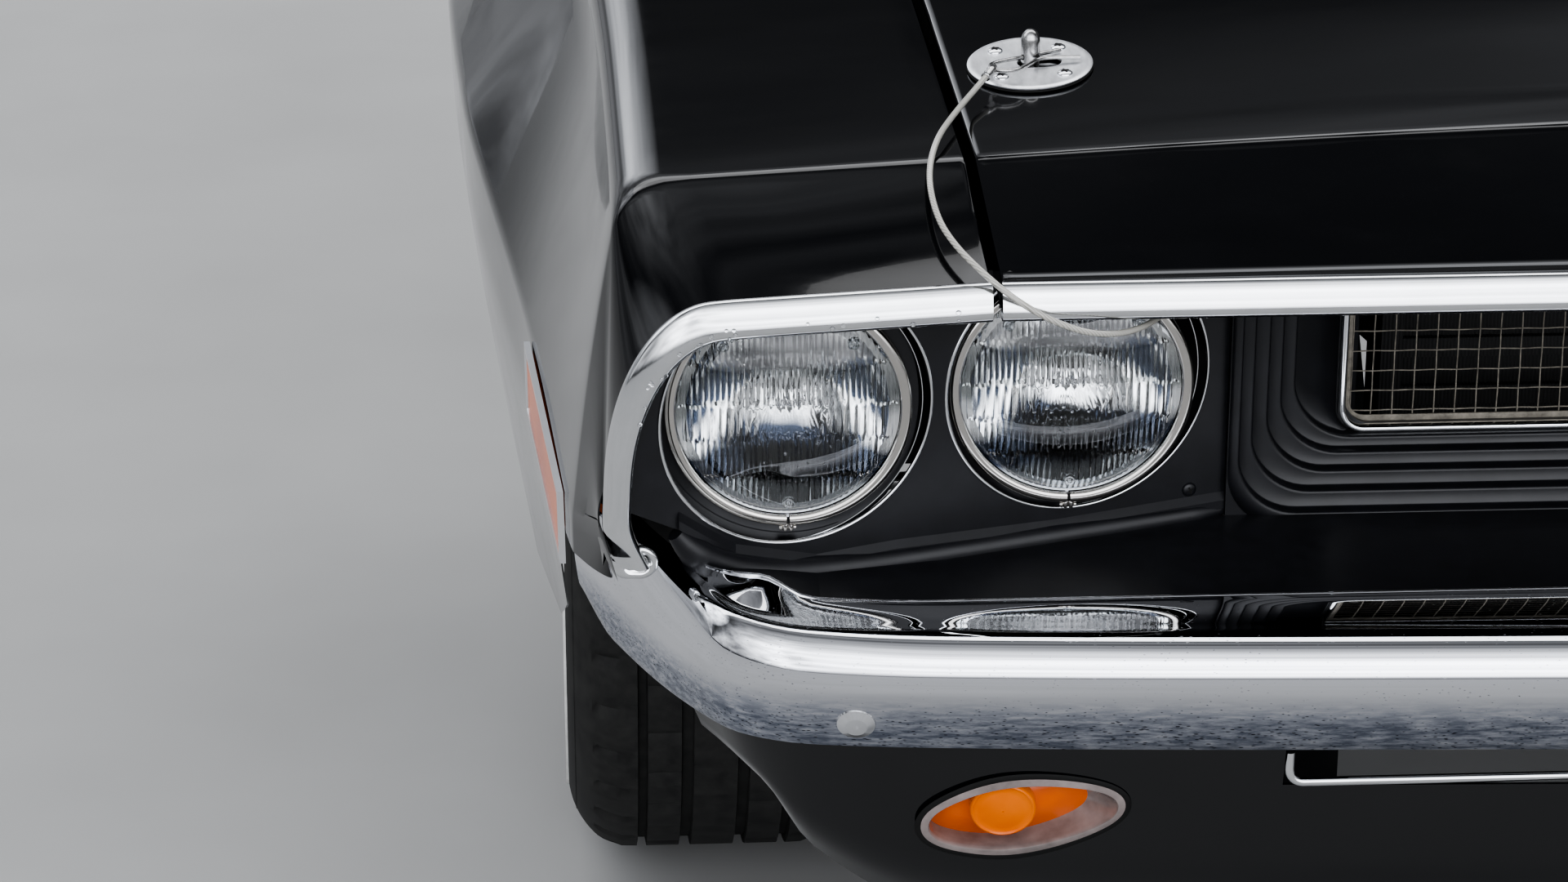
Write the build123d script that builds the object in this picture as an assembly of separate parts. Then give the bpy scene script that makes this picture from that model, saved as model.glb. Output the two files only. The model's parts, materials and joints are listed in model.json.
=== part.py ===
from build123d import *
import os
from math import cos, radians, sin, sqrt, tan

# Front end of a two-door muscle car, from the bumper back to the firewall.
# Millimetres. While it is modelled, X = 0 is the middle of the car, Y = 0 the front axle, Z = 0 the road,
# -Y is forwards and +X is the car's left. It is written with its origin on the firewall's rear face.

# Driving sizes
FIREWALL_Y = 640.0          # rear face of the firewall, behind the axle
MOUNT_Z = 600.0             # height of the firewall's mounting face centre above the road
FIREWALL_T = 6.0
FIREWALL_W = 1230.0
FIREWALL_TOP = 872.0
FIREWALL_FOOT = 432.0
COWL_W = 1190.0
FIREWALL_BOLT_X = 560.0
FIREWALL_BOLT_Z = (480.0, 720.0)
SKIN_T = 3.0                # fender sheet with its edges folded
PANEL_GAP = 6.0             # shut line between the hood and each fender
FLANGE_H = 22.0             # turned-down edge beside the hood
HOOD_T = 20.0               # outer and inner hood panels together
HOOD_OUTER_T = 4.0
HOOD_RIB_W = 70.0
FIT = 0.3                   # clearance between seated pieces
RUN = 0.05                  # radial clearance of a running pin

# Nose
NOSE_Y = -850.0             # back of the chrome moulding at NOSE_Z
NOSE_Z = 777.0
NOSE_LEAN = 0.08            # how far the nose plane runs back for each mm down
BROW_Y = -789.0             # brow crease at the fender's side
BROW_SWEEP = 0.031          # how far the crease runs back for each mm towards the middle
MOULD_H = 24.0
MOULD_SIDE_W = 18.0
MOULD_D = 12.0

# Headlamps, 5 3/4 inch sealed beams
LAMP_Z = 675.0
LAMP_OUTER_X = 729.0
LAMP_INNER_X = 547.0
LAMP_OUTER_Y = -802.0       # front faces of the retaining rings
LAMP_INNER_Y = -774.0
LENS_R = 74.5
LENS_GLASS_R = 71.0
LENS_BULGE = 17.0
LENS_T = 3.5
RING_R = 78.5
HOLE_R = 87.0
BUCKET_T = 2.5
REFLECTOR_DEPTH = 48.0
RING_LIP = 3.0              # depths of the ring's lip and the rims that it holds
LENS_RIM = 3.7
REFLECTOR_RIM = 2.0
PANEL_X = 541.0             # a point of the lamp panel's face
PANEL_Y = -758.0
PANEL_SLOPE = 0.262         # the panel runs forward by this much for each mm outward
PANEL_T = 4.0
PANEL_IN_X = 440.0
RIDGE_DROP = 5.0            # panel's lower edge below the ridge line
RIDGE_RISE = 9.0            # ridge's foot above that line
RIDGE_OUT = 4.0             # how far the ridge stands out of the panel

# Grille cavity
GRILLE_TOP = 752.0
TERRACE_STEP_Y = 10.0
GRILLE_HALF = 360.0
GRILLE_BOTTOM = 609.0
GRILLE_BAND = 5.0
GRILLE_CORNER = 18.0
TAB_INSET = 10.0            # shroud's mounting tabs, in from its sides
TAB_T = 12.0
WIRE = 2.0
WIRE_PITCH_X = 24.0
WIRE_PITCH_Z = 24.0

# Bumper
BUMPER_T = 3.0
BOLT_X = 692.0
BOLT_Z = 506.0
BOLT_R = 13.0

FILLER_REAR_Z = 571.0       # the filler panel's rear edge at the middle
FILLER_T = 3.0

# Valance and turn signals
VALANCE_T = 3.0
SIGNAL_X = 585.0
SIGNAL_Z = 431.0
SIGNAL_HALF_X = 64.0
SIGNAL_HALF_Z = 27.0
SIGNAL_TILT = 9.0
INTAKE_HALF = 423.0
INTAKE_Z = 456.0
VALANCE_LAP = 4.0           # how far the valance reaches up behind the bumper's lip

# Side markers
MARKER_Y = (-752.0, -588.0)
MARKER_H = 42.0
MARKER_DROP = 7.0           # the lens's upper edge below the crease
MARKER_STEPS = 7
MARKER_T = 3.0
BEZEL_W = 4.0
BEZEL_T = 4.0

# Hood pins
PIN_X = 565.0
PIN_Y = -655.0
PIN_R = 6.0
PIN_ABOVE = 25.0
PLATE_R = 40.0
PLATE_T = 2.0
CLIP_WIRE = 2.8
CLIP_TURN = 30.0            # the clip's leg, turned forwards from straight across
CLIP_DROP = 18.0            # cross hole below the post's tip
LANYARD_D = 4.0

# Hood hinge
HINGE_X = 580.0
HINGE_Y = 607.0
HINGE_Z = 898.0
HINGE_PIN_R = 5.0
HOOD_REAR_Y = 595.0

# Structure
RAIL_X = 400.0
RAIL_W = 80.0
RAIL_Z = 380.0
RAIL_H = 100.0
RAIL_WALL = 3.0
RAIL_FRONT_Y = -755.0
WALL_X = 456.0              # inner fender's upright wall
WELL_R = 412.0              # wheel housing, round the axle
WELL_T = 3.0
SHELF_Z = 800.0             # shelf beside the engine bay, level with the radiator support's top
SUPPORT_Y = -545.0          # front face of the radiator support
SUPPORT_T = 18.0

# Wheels and steering
TRACK = 1516.0
SCRUB = 68.0                # from the wheel's middle in to the steering axis
TYRE_R = 335.0
TYRE_W = 235.0
RIM_R = 190.5
RIM_W = 178.0
ARCH_R = 385.0
ARCH_Z = 322.0
STUD_PCD = 114.3
KINGPIN_X = TRACK / 2 - SCRUB
KNUCKLE_LOW_Z = 228.0       # the knuckle's ball-joint faces
KNUCKLE_TOP_Z = 445.0
MEMBER_INSET = 5.0          # crossmember's ends, where the lower arms pivot, inside the rails' outer sides
MEMBER_HALF = RAIL_X + RAIL_W / 2 - MEMBER_INSET
SPINDLE_R = 15.0
ARM_R = 150.0               # steering, pitman and idler arms
TIE_X = KINGPIN_X - 50.0    # steering arm's end
TIE_Z = 226.0
INNER_TIE_X = 400.0         # where the tie rods meet the cross rod
TIE_END_R = 16.0
TIE_TOP = 22.0              # the tie rod's inner end is this much higher than the cross rod
EYE_HALF = 11.0             # half the height of the rods' ends
PIN_HALF = 14.0             # and of the cross rod's pins
PITMAN_TOP = 28.0           # top of the pitman and idler arms above the cross rod
PITMAN_X = 330.0
PITMAN_Y = 300.0            # the arms' own pivots, behind the cross rod
DISC_R = 139.0
DISC_T = 24.0
DISC_INSET = 30.0           # brake disc's middle, inboard of the wheel's middle
CALIPER_HALF = 33.0
HUB_FACE = 10.0             # wheel's mounting face, outboard of its middle

# Outer skin. Columns: y, middle z, gap x, gap z, shoulder inner x, z, shoulder outer x, z, crease x, z,
# hem x, hem z, flank x, z, from where the side tucks under. The first row lies in the leaning nose plane,
# the second in the swept brow plane.
SKIN = (
    (NOSE_Y, 779.0, 601.0, 777.0, 775.0, 768.0, 846.0, 640.0, 849.0, 612.0, 842.0, 580.0, 846.0, 597.0),
    (BROW_Y, 848.0, 612.0, 834.0, 806.0, 826.0, 838.0, 800.0, 867.0, 600.0, 832.0, 300.0, 866.0, 540.0),
    (-560.0, 878.0, 623.0, 860.0, 812.0, 851.0, 843.0, 824.0, 895.0, 652.0, 852.0, 300.0, 894.0, 574.0),
    (-300.0, 901.0, 633.0, 882.0, 822.0, 872.0, 854.0, 843.0, 941.0, 727.0, 886.0, 300.0, 938.0, 642.0),
    (0.0, 922.0, 641.0, 902.0, 832.0, 890.0, 866.0, 858.0, 957.0, 740.0, 906.0, 300.0, 954.0, 652.0),
    (635.0, 952.0, 655.0, 930.0, 838.0, 912.0, 872.0, 880.0, 963.0, 745.0, 912.0, 300.0, 960.0, 656.0),
)

# Fender's side outline that is cut away ahead of the wheel: y, z
FENDER_UNDERCUT = ((-900, 578), (-706, 578), (-640, 474), (-500, 404), (-300, 396), (-300, 200), (-900, 200))

# Grille terraces, from the front one back. Columns: share of the way from the lamp panel's edge in to the
# grille's, bottom z
TERRACES = ((0.09, 571.0), (0.21, 582.0), (0.35, 592.0), (0.48, 601.0), (0.61, 608.0))

# Lamp panel's lower ridge. Columns: x, z
RIDGE = ((PANEL_IN_X, 578.0), (554.0, 573.0), (659.0, 573.0), (711.0, 570.0), (763.0, 584.0), (799.0, 611.0))

# Bumper sections along its front line. Columns: x, y, heading from straight ahead in degrees, shelf depth,
# rear z, top z, widest z, bottom z, top inset, bottom inset
BUMPER = (
    (0.0, -952.0, 0.0, 100.0, 565.0, 566.0, 535.0, 485.0, 26.0, 19.0),
    (627.0, -919.0, 4.0, 68.0, 565.0, 566.0, 535.0, 485.0, 26.0, 20.0),
    (727.0, -908.0, 12.0, 56.0, 570.0, 568.0, 535.0, 485.0, 24.0, 21.0),
    (775.0, -885.0, 38.0, 42.0, 586.0, 572.0, 536.0, 486.0, 20.0, 18.0),
    (806.0, -835.0, 66.0, 22.0, 584.0, 580.0, 540.0, 487.0, 15.0, 12.0),
    (845.0, -740.0, 72.0, 10.0, 592.0, 592.0, 550.0, 490.0, 7.0, 5.0),
    (866.0, -690.0, 76.0, 7.0, 597.0, 597.0, 560.0, 510.0, 5.0, 4.0),
)

# Valance sections, one behind each of the first bumper sections. Columns: reach back of the bend, its z,
# reach back of the lower edge, its z
VALANCE = (
    (50.0, 374.0, 82.0, 335.0),
    (50.0, 376.0, 80.0, 338.0),
    (46.0, 412.0, 62.0, 392.0),
    (34.0, 455.0, 42.0, 445.0),
    (20.0, 476.0, 22.0, 471.0),
)

# Lanyard from the clip's loop to the lamp panel behind the hood moulding, right side: x, y, z
LANYARD = (
    (-592.2, -683.4, 860.9),
    (-605.0, -706.0, 855.0),
    (-621.0, -738.0, 849.5),
    (-636.0, -773.0, 843.5),
    (-643.5, -804.0, 830.0),
    (-639.5, -827.5, 811.0),
    (-629.5, -844.0, 798.5),
    (-615.0, -860.5, 787.5),
    (-598.0, -873.0, 775.5),
    (-577.0, -874.5, 762.0),
    (-554.0, -871.0, 751.0),
    (-533.0, -863.5, 746.0),
    (-514.0, -849.0, 744.5),
    (-498.0, -828.0, 745.5),
    (-485.0, -802.0, 746.5),
    (-476.0, -774.0, 747.0),
    (-483.0, -743.1, 747.0),
)


def outline(points, mids=None):
    """A closed wire through 3-D points; mids gives an arc's middle point by the number of its edge."""
    edges = []
    for number, start in enumerate(points):
        end = points[(number + 1) % len(points)]
        if mids and number in mids:
            edges.append(Edge.make_three_point_arc(start, mids[number], end))
        else:
            edges.append(Edge.make_line(start, end))
    return Wire(edges)


def prism_x(points, x0, x1):
    """An outline of (y, z) points, from x0 to x1."""
    wire = outline([(x0, y, z) for y, z in points])
    return Solid.extrude(Face(wire), Vector(x1 - x0, 0, 0))


def prism_y(points, y0, y1):
    """An outline of (x, z) points, from y0 to y1."""
    wire = outline([(x, y0, z) for x, z in points])
    return Solid.extrude(Face(wire), Vector(0, y1 - y0, 0))


def prism_z(points, z0, z1):
    """An outline of (x, y) points, from z0 to z1."""
    wire = outline([(x, y, z0) for x, y in points])
    return Solid.extrude(Face(wire), Vector(0, 0, z1 - z0))


def block(x0, x1, y0, y1, z0, z1):
    return prism_z([(x0, y0), (x1, y0), (x1, y1), (x0, y1)], z0, z1)


def rod(start, end, radius):
    """A round bar between two points."""
    line = Vector(*end) - Vector(*start)
    return Solid.make_cylinder(radius, line.length, Plane(origin=start, z_dir=line))


def turned(profile, origin, direction):
    """A solid turned about a line; the profile's points are (distance along the line, radius)."""
    along = Vector(*direction).normalized()
    side = Vector(0, 0, 1) if abs(along.Z) < 0.9 else Vector(1, 0, 0)
    side = (side - along * side.dot(along)).normalized()
    start = Vector(*origin)
    wire = outline([tuple(start + along * a + side * r) for a, r in profile])
    return Solid.revolve(Face(wire), 360, Axis(origin, tuple(along)))


def mirrored(shape):
    return mirror(shape, about=Plane.YZ)


def pair(shape):
    """The piece and its mirror image, as one node of two solids."""
    return Compound(list(shape.solids()) + list(mirrored(shape).solids()))


def between(rows, x, column):
    """A table's column at x, on straight lines between its rows."""
    for low, high in zip(rows, rows[1:]):
        if x <= high[0]:
            share = (x - low[0]) / (high[0] - low[0])
            return low[column] + share * (high[column] - low[column])
    return rows[-1][column]


def nose_y(z):
    return NOSE_Y + NOSE_LEAN * (NOSE_Z - z)


def panel_y(x):
    """The lamp panel's front face."""
    return PANEL_Y - PANEL_SLOPE * (x - PANEL_X)


def skin_point(row, x, z):
    """A point of a skin section: the nose and brow rows lie in planes of their own."""
    if row == 0:
        return (x, nose_y(z), z)
    if row == 1:
        return (x, BROW_Y + BROW_SWEEP * (SKIN[1][8] - x), z)
    return (x, SKIN[row][0], z)


def round_mid(ax, az, bx, bz):
    """The middle of a shoulder's arc from (ax, az) down to (bx, bz)."""
    middle_x = (ax + bx) / 2
    middle_z = (az + bz) / 2
    return middle_x + 0.414 * (bx - middle_x), middle_z + 0.414 * (az - middle_z)


def hood_z(x, y):
    """The hood's outer surface behind the brow."""
    for low, high in zip(SKIN[1:], SKIN[2:]):
        if y <= high[0]:
            share = (y - low[0]) / (high[0] - low[0])
            mid = low[1] + share * (high[1] - low[1])
            gap_x = low[2] + share * (high[2] - low[2])
            gap_z = low[3] + share * (high[3] - low[3])
            return mid - (mid - gap_z) * (x / gap_x) ** 2
    return SKIN[-1][1]


def fender_left():
    sections = []
    for row, (_, _, gx, gz, ax, az, bx, bz, cx, cz, dx, dz, ex, ez) in enumerate(SKIN):
        inner = gx + PANEL_GAP
        mx, mz = round_mid(ax, az, bx, bz)
        corners = [
            (inner, gz), (ax, az), (bx, bz), (cx, cz), (ex, ez), (dx, dz),
            (dx - SKIN_T, dz), (ex - SKIN_T, ez), (cx - SKIN_T, cz), (bx - SKIN_T, bz), (ax, az - SKIN_T),
            (inner + SKIN_T, gz - SKIN_T), (inner + SKIN_T, gz - FLANGE_H), (inner, gz - FLANGE_H),
        ]
        drop = SKIN_T * 0.707
        mids = {1: skin_point(row, mx, mz), 9: skin_point(row, mx - drop, mz - drop)}
        sections.append(outline([skin_point(row, x, z) for x, z in corners], mids))
    shell = Solid.make_loft(sections, ruled=True)
    arch = Solid.make_cylinder(ARCH_R, 400, Plane(origin=(700, 0, ARCH_Z), z_dir=(1, 0, 0)))
    return shell - arch - prism_x(FENDER_UNDERCUT, 700, 1100)


def hood_half(top_drop, bottom_drop):
    """The hood's left half between two depths under its outer surface."""
    sections = []
    for row, (_, mid, gx, gz, *_) in enumerate(SKIN):
        quarter = mid - (mid - gz) / 4
        corners = [(0, mid - top_drop), (gx, gz - top_drop), (gx, gz - bottom_drop), (0, mid - bottom_drop)]
        mids = {
            0: skin_point(row, gx / 2, quarter - top_drop),
            2: skin_point(row, gx / 2, quarter - bottom_drop),
        }
        sections.append(outline([skin_point(row, x, z) for x, z in corners], mids))
    return Solid.make_loft(sections, ruled=True)


def hood():
    behind = block(-10, 1000, HOOD_REAR_Y, 900, 700, 1100)
    half = hood_half(0, HOOD_T) - behind
    under = hood_half(HOOD_OUTER_T, HOOD_T + 30)
    rear = HOOD_REAR_Y - HOOD_RIB_W
    # Pockets pressed into the inner panel leave a frame, a middle rib and two slanted ribs: x, y corners
    pockets = (
        ((35, -690), (480, -690), (430, -440), (35, -330)),
        ((35, -250), (510, -420), (560, -420), (560, -20), (35, -20)),
        ((35, 50), (570, 50), (570, rear), (35, rear)),
    )
    for corners in pockets:
        half -= under & prism_z(corners, 700, 1100)
    hole_z = hood_z(PIN_X, PIN_Y)
    half -= rod((PIN_X, PIN_Y, hole_z - 60), (PIN_X, PIN_Y, hole_z + 30), PIN_R + 4)
    return half + mirrored(half)


def hood_moulding():
    """The bright strip across the hood's front edge."""
    half = SKIN[0][2]
    back = nose_y(NOSE_Z) - FIT
    points = [
        (back, NOSE_Z), (back - 7, NOSE_Z), (back - MOULD_D + 1, NOSE_Z - 6), (back - MOULD_D, NOSE_Z - 14),
        (back - MOULD_D + 2, NOSE_Z - MOULD_H), (back + 2, NOSE_Z - MOULD_H),
    ]
    return prism_x(points, -half, half)


def nose_plate(points, mids, depth):
    """An outline of (x, z) points in the nose plane, thickened forwards."""
    wire = outline(
        [(x, nose_y(z) - FIT, z) for x, z in points],
        {edge: (x, nose_y(z) - FIT, z) for edge, (x, z) in mids.items()},
    )
    return Solid.extrude(Face(wire), Vector(0, -depth, 0))


def fender_moulding():
    """The bright strip that follows the fender's nose round the outer lamp."""
    gx, gz, ax, az, bx, bz, cx, cz, dx, dz = SKIN[0][2:12]
    start = gx + PANEL_GAP
    side = MOULD_SIDE_W
    outer_mid = round_mid(ax, az, bx, bz)
    inner_mid = round_mid(ax - 8, az - MOULD_H, bx - side, bz)
    points = [
        (start, gz), (ax, az), (bx, bz), (cx - 1, cz), (dx - 2, dz + 8), (dx - side - 6, dz + 8),
        (cx - side - 1, cz + 6), (bx - side, bz), (ax - 8, az - MOULD_H), (start, gz - MOULD_H),
    ]
    strip = nose_plate(points, {1: outer_mid, 7: inner_mid}, MOULD_D)
    tab_x = dx - side
    tab_z = dz + 10
    y = nose_y(tab_z) - FIT
    return strip + rod((tab_x, y, tab_z), (tab_x, y - 4, tab_z), 12)


def lamp_panel():
    """The satin plate round one side's two lamps, with its ridge below."""
    drop = RIDGE_DROP
    low = [(x, z - drop) for x, z in RIDGE]
    ax, az, bx, bz = SKIN[0][4:8]
    rim = 12
    inner_top = GRILLE_TOP + 6
    corner_mid = round_mid(ax - 16, az - rim, bx - rim, bz)
    points = low + [(bx - rim - 4, 622), (bx - rim, bz), (ax - 16, az - rim), (PANEL_IN_X, inner_top)]
    arc_edge = len(low) + 1
    wire = outline(
        [(x, panel_y(x), z) for x, z in points],
        {arc_edge: (corner_mid[0], panel_y(corner_mid[0]), corner_mid[1])},
    )
    plate = Solid.extrude(Face(wire), Vector(0, PANEL_T, 0))
    for x in (LAMP_OUTER_X - 5, LAMP_INNER_X - 6):
        hole = Plane(origin=(x, panel_y(x) - 60, LAMP_Z), z_dir=(0, 1, 0))
        plate -= Solid.make_cylinder(HOLE_R, 120, hole)
    # The ridge along the lower edge narrows to its crest
    rings = []
    for lift, low_by, high_by in ((-1, drop, RIDGE_RISE), (RIDGE_OUT, drop - 2, RIDGE_RISE / 3)):
        edge = [(x, panel_y(x) - lift, z - low_by) for x, z in RIDGE]
        edge += [(x, panel_y(x) - lift, z + high_by) for x, z in reversed(RIDGE)]
        rings.append(outline(edge))
    return plate + Solid.make_loft(rings, ruled=True)


def lamp_places():
    """Each left lamp's axis x and ring face y."""
    return ((LAMP_OUTER_X, LAMP_OUTER_Y), (LAMP_INNER_X, LAMP_INNER_Y))


def lamp_bucket(x, face):
    """The cup behind one lamp: its shoulder carries the lamp and its mouth meets the panel's back."""
    inner = HOLE_R + FIT
    outer = inner + BUCKET_T
    shoulder = RING_LIP + FIT + LENS_RIM + FIT + REFLECTOR_RIM + FIT
    profile = [
        (-70, inner), (shoulder, inner), (shoulder, LENS_GLASS_R - 5), (shoulder + 3, LENS_GLASS_R - 5),
        (60, 34), (86, 30), (86, 0), (90, 0), (90, 34), (62, 38), (shoulder + 6, outer), (-70, outer),
    ]
    cup = turned(profile, (x, face, LAMP_Z), (0, 1, 0))
    far = 1200
    near = 200
    back = PANEL_T + FIT
    front = prism_z(
        [(near, panel_y(near) + back), (far, panel_y(far) + back), (far, -1500), (near, -1500)], 400, 900
    )
    return cup - front


def lamp_ring(x, face):
    sleeve_end = RING_LIP + FIT + LENS_RIM + FIT + REFLECTOR_RIM
    profile = [
        (1.5, LENS_GLASS_R), (0, LENS_GLASS_R + 1.5), (0, RING_R - 3), (2, RING_R), (sleeve_end, RING_R),
        (sleeve_end, LENS_R + FIT), (RING_LIP, LENS_R + FIT), (RING_LIP, LENS_GLASS_R),
    ]
    return turned(profile, (x, face, LAMP_Z), (0, 1, 0))


def dome(depth, radius, origin, thickness):
    """A thin round cap: its rim is flat at origin and its middle stands depth in front of it."""
    x, y, z = origin
    ball = (radius ** 2 + depth ** 2) / (2 * depth)
    slant = 0.5 * radius
    mid = sqrt(ball ** 2 - slant ** 2) - (ball - depth)
    outer = Edge.make_three_point_arc((x, y - depth, z), (x, y - mid, z + slant), (x, y, z + radius))
    low = depth - thickness
    ball_low = (radius ** 2 + low ** 2) / (2 * low)
    mid_low = sqrt(ball_low ** 2 - slant ** 2) - (ball_low - low)
    y2 = y + 0.2
    inner = Edge.make_three_point_arc((x, y2, z + radius), (x, y2 - mid_low, z + slant), (x, y2 - low, z))
    wire = Wire([outer, Edge.make_line(outer @ 1, inner @ 0), inner, Edge.make_line(inner @ 1, outer @ 0)])
    return Solid.revolve(Face(wire), 360, Axis((x, y, z), (0, 1, 0)))


def lamp_lens(x, face):
    """The domed glass, with the flat rim that the ring holds."""
    start = face + RING_LIP + FIT
    rim = turned(
        [(0, LENS_GLASS_R - 3), (0, LENS_R), (LENS_RIM, LENS_R), (LENS_RIM, LENS_GLASS_R - 3)],
        (x, start, LAMP_Z), (0, 1, 0),
    )
    return rim + dome(LENS_BULGE, LENS_GLASS_R - FIT, (x, start + 1.5, LAMP_Z), LENS_T)


def lamp_reflector(x, face):
    """The silvered bowl behind the glass."""
    start = face + RING_LIP + FIT + LENS_RIM + FIT
    wide = LENS_GLASS_R - 7
    deep = REFLECTOR_DEPTH
    wall = REFLECTOR_RIM
    outer_wide = wide + wall
    mid = 0.62
    y0 = start
    curve_in = Edge.make_three_point_arc(
        (x, y0, LAMP_Z + wide), (x, y0 + deep * (1 - mid ** 2), LAMP_Z + wide * mid), (x, y0 + deep, LAMP_Z + 8)
    )
    back = y0 + deep + wall
    curve_out = Edge.make_three_point_arc(
        (x, back, LAMP_Z + 8), (x, y0 + wall + deep * (1 - mid ** 2), LAMP_Z + outer_wide * mid + 1),
        (x, y0 + wall, LAMP_Z + outer_wide),
    )
    corners = [
        (x, y0 + deep, LAMP_Z + 8), (x, y0 + deep, LAMP_Z), (x, back, LAMP_Z), (x, back, LAMP_Z + 8),
        (x, y0 + wall, LAMP_Z + outer_wide), (x, y0 + wall, LAMP_Z + LENS_R), (x, y0, LAMP_Z + LENS_R),
        (x, y0, LAMP_Z + wide),
    ]
    lines = [Edge.make_line(a, b) for a, b in zip(corners[:3], corners[1:4])]
    lines += [Edge.make_line(a, b) for a, b in zip(corners[4:7], corners[5:8])]
    return Solid.revolve(Face(Wire([curve_in] + lines[:3] + [curve_out] + lines[3:])), 360,
                         Axis((x, y0, LAMP_Z), (0, 1, 0)))


def lamps(piece):
    """One kind of lamp piece at all four lamps."""
    solids = []
    for x, face in lamp_places():
        shape = piece(x, face)
        solids += list(shape.solids()) + list(mirrored(shape).solids())
    return Compound(solids)


def cavity_front():
    return panel_y(PANEL_IN_X) - 6


def grille_y():
    """The face of the grille mesh, behind the last terrace."""
    return cavity_front() + len(TERRACES) * TERRACE_STEP_Y


def frame_outline(half, bottom, top, radius, y):
    """A rectangle with its two lower corners rounded, in the plane at y."""
    turn = 0.293 * radius
    points = [
        (-half, y, top), (-half, y, bottom + radius), (-half + radius, y, bottom), (half - radius, y, bottom),
        (half, y, bottom + radius), (half, y, top),
    ]
    mids = {1: (-half + turn, y, bottom + turn), 3: (half - turn, y, bottom + turn)}
    return outline(points, mids)


def grille_shroud():
    """The stepped cavity round the grille: each terrace is smaller and further back."""
    half = PANEL_IN_X - FIT
    foot = TERRACES[0][1] - 9
    shroud = None
    for number, (share, bottom) in enumerate(TERRACES):
        width = PANEL_IN_X - share * (PANEL_IN_X - GRILLE_HALF)
        front = cavity_front() + number * TERRACE_STEP_Y
        step = Solid.extrude(Face(frame_outline(half, foot, GRILLE_TOP, 6, front)), Vector(0, TERRACE_STEP_Y, 0))
        hole = Solid.extrude(
            Face(frame_outline(width, bottom, GRILLE_TOP + 1, 40, front)), Vector(0, TERRACE_STEP_Y, 0)
        )
        ring = step - hole
        shroud = ring if shroud is None else shroud + ring
    back = grille_y()
    half_in = GRILLE_HALF - GRILLE_BAND
    plate = Solid.extrude(Face(frame_outline(half, foot, GRILLE_TOP, 6, back)), Vector(0, 4, 0))
    window = Solid.extrude(
        Face(frame_outline(half_in, GRILLE_BOTTOM + GRILLE_BAND, GRILLE_TOP - 8, GRILLE_CORNER, back)),
        Vector(0, 4, 0),
    )
    plate = plate - window
    # Two upright tabs reach back from the plate to the radiator support
    tabs = []
    for side in (-1, 1):
        x0, x1 = sorted((side * (half - TAB_INSET), side * (half - TAB_INSET - TAB_T)))
        tabs.append(block(x0, x1, back + 4, SUPPORT_Y - FIT, 620, 740))
    return shroud + plate + tabs[0] + tabs[1]


def grille_surround():
    front = grille_y() - FIT - 6
    top = GRILLE_TOP - 4
    band = Face(frame_outline(GRILLE_HALF, GRILLE_BOTTOM, top, GRILLE_CORNER, front))
    inner = Face(
        frame_outline(
            GRILLE_HALF - GRILLE_BAND, GRILLE_BOTTOM + GRILLE_BAND, top - GRILLE_BAND,
            GRILLE_CORNER - GRILLE_BAND, front,
        )
    )
    return Solid.extrude(band, Vector(0, 6, 0)) - Solid.extrude(inner, Vector(0, 6, 0))


def grille_mesh():
    """Wires in two layers, joined by the rim that the surround covers."""
    back = grille_y() + 4 + FIT
    half = GRILLE_HALF - 1
    low = GRILLE_BOTTOM + 1
    top = GRILLE_TOP - 9
    rim_w = 8
    depth = 2 * WIRE + 0.4
    rim = block(-half, half, back, back + depth, low, top)
    rim -= block(-half + rim_w, half - rim_w, back, back + depth, low + rim_w, top - rim_w)
    wires = []
    columns = int((2 * (half - rim_w)) // WIRE_PITCH_X)
    start = -columns * WIRE_PITCH_X / 2
    for number in range(columns + 1):
        x = start + number * WIRE_PITCH_X
        wires.append(block(x - WIRE / 2, x + WIRE / 2, back, back + WIRE, low + rim_w - 1, top - rim_w + 1))
    rows = int((top - low - 2 * rim_w) // WIRE_PITCH_Z)
    for number in range(rows):
        z = low + rim_w + (number + 1) * WIRE_PITCH_Z
        y = back + WIRE + 0.4
        wires.append(block(-half + rim_w - 1, half - rim_w + 1, y, y + WIRE, z - WIRE / 2, z + WIRE / 2))
    return rim.fuse(*wires)


def bumper_section(row):
    """A closed wall section of the bumper: shelf, rounded top, face and bottom lip."""
    x, y, heading, depth, rear_z, top_z, wide_z, low_z, top_in, low_in = row
    turn = radians(heading)
    out_x, out_y = sin(turn), -cos(turn)

    def at(back, z):
        return (x - out_x * back, y - out_y * back, z)

    t = BUMPER_T
    mid_back, mid_z = 0.3 * top_in, wide_z + 0.72 * (top_z - wide_z)
    outer = [at(depth, rear_z), at(top_in, top_z), at(0, wide_z), at(low_in, low_z)]
    inner = [at(low_in + t, low_z), at(t, wide_z), at(top_in + 0.5 * t, top_z - t), at(depth, rear_z - t)]
    mids = {1: at(mid_back, mid_z), 5: at(mid_back + 0.8 * t, mid_z - 0.8 * t)}
    return outline(outer + inner, mids)


def bumper():
    half = Solid.make_loft([bumper_section(row) for row in BUMPER], ruled=True)
    return half + mirrored(half)


def bumper_face_y(x, z):
    """The bumper's outer face below its widest line, along the straight front."""
    wide_z = between(BUMPER, x, 6)
    low_z = between(BUMPER, x, 7)
    share = (wide_z - z) / (wide_z - low_z)
    return between(BUMPER, x, 1) + share * between(BUMPER, x, 9)


def bumper_bolts():
    y = bumper_face_y(BOLT_X, BOLT_Z) - 1.2
    slope = (BUMPER[1][9]) / (BUMPER[1][6] - BUMPER[1][7])
    normal = (0.1, -1, -slope)
    cap = turned([(0, 0), (0, BOLT_R), (2, BOLT_R - 1), (4.5, BOLT_R - 6), (5, 0)], (BOLT_X, y, BOLT_Z), normal)
    return pair(cap)


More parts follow.
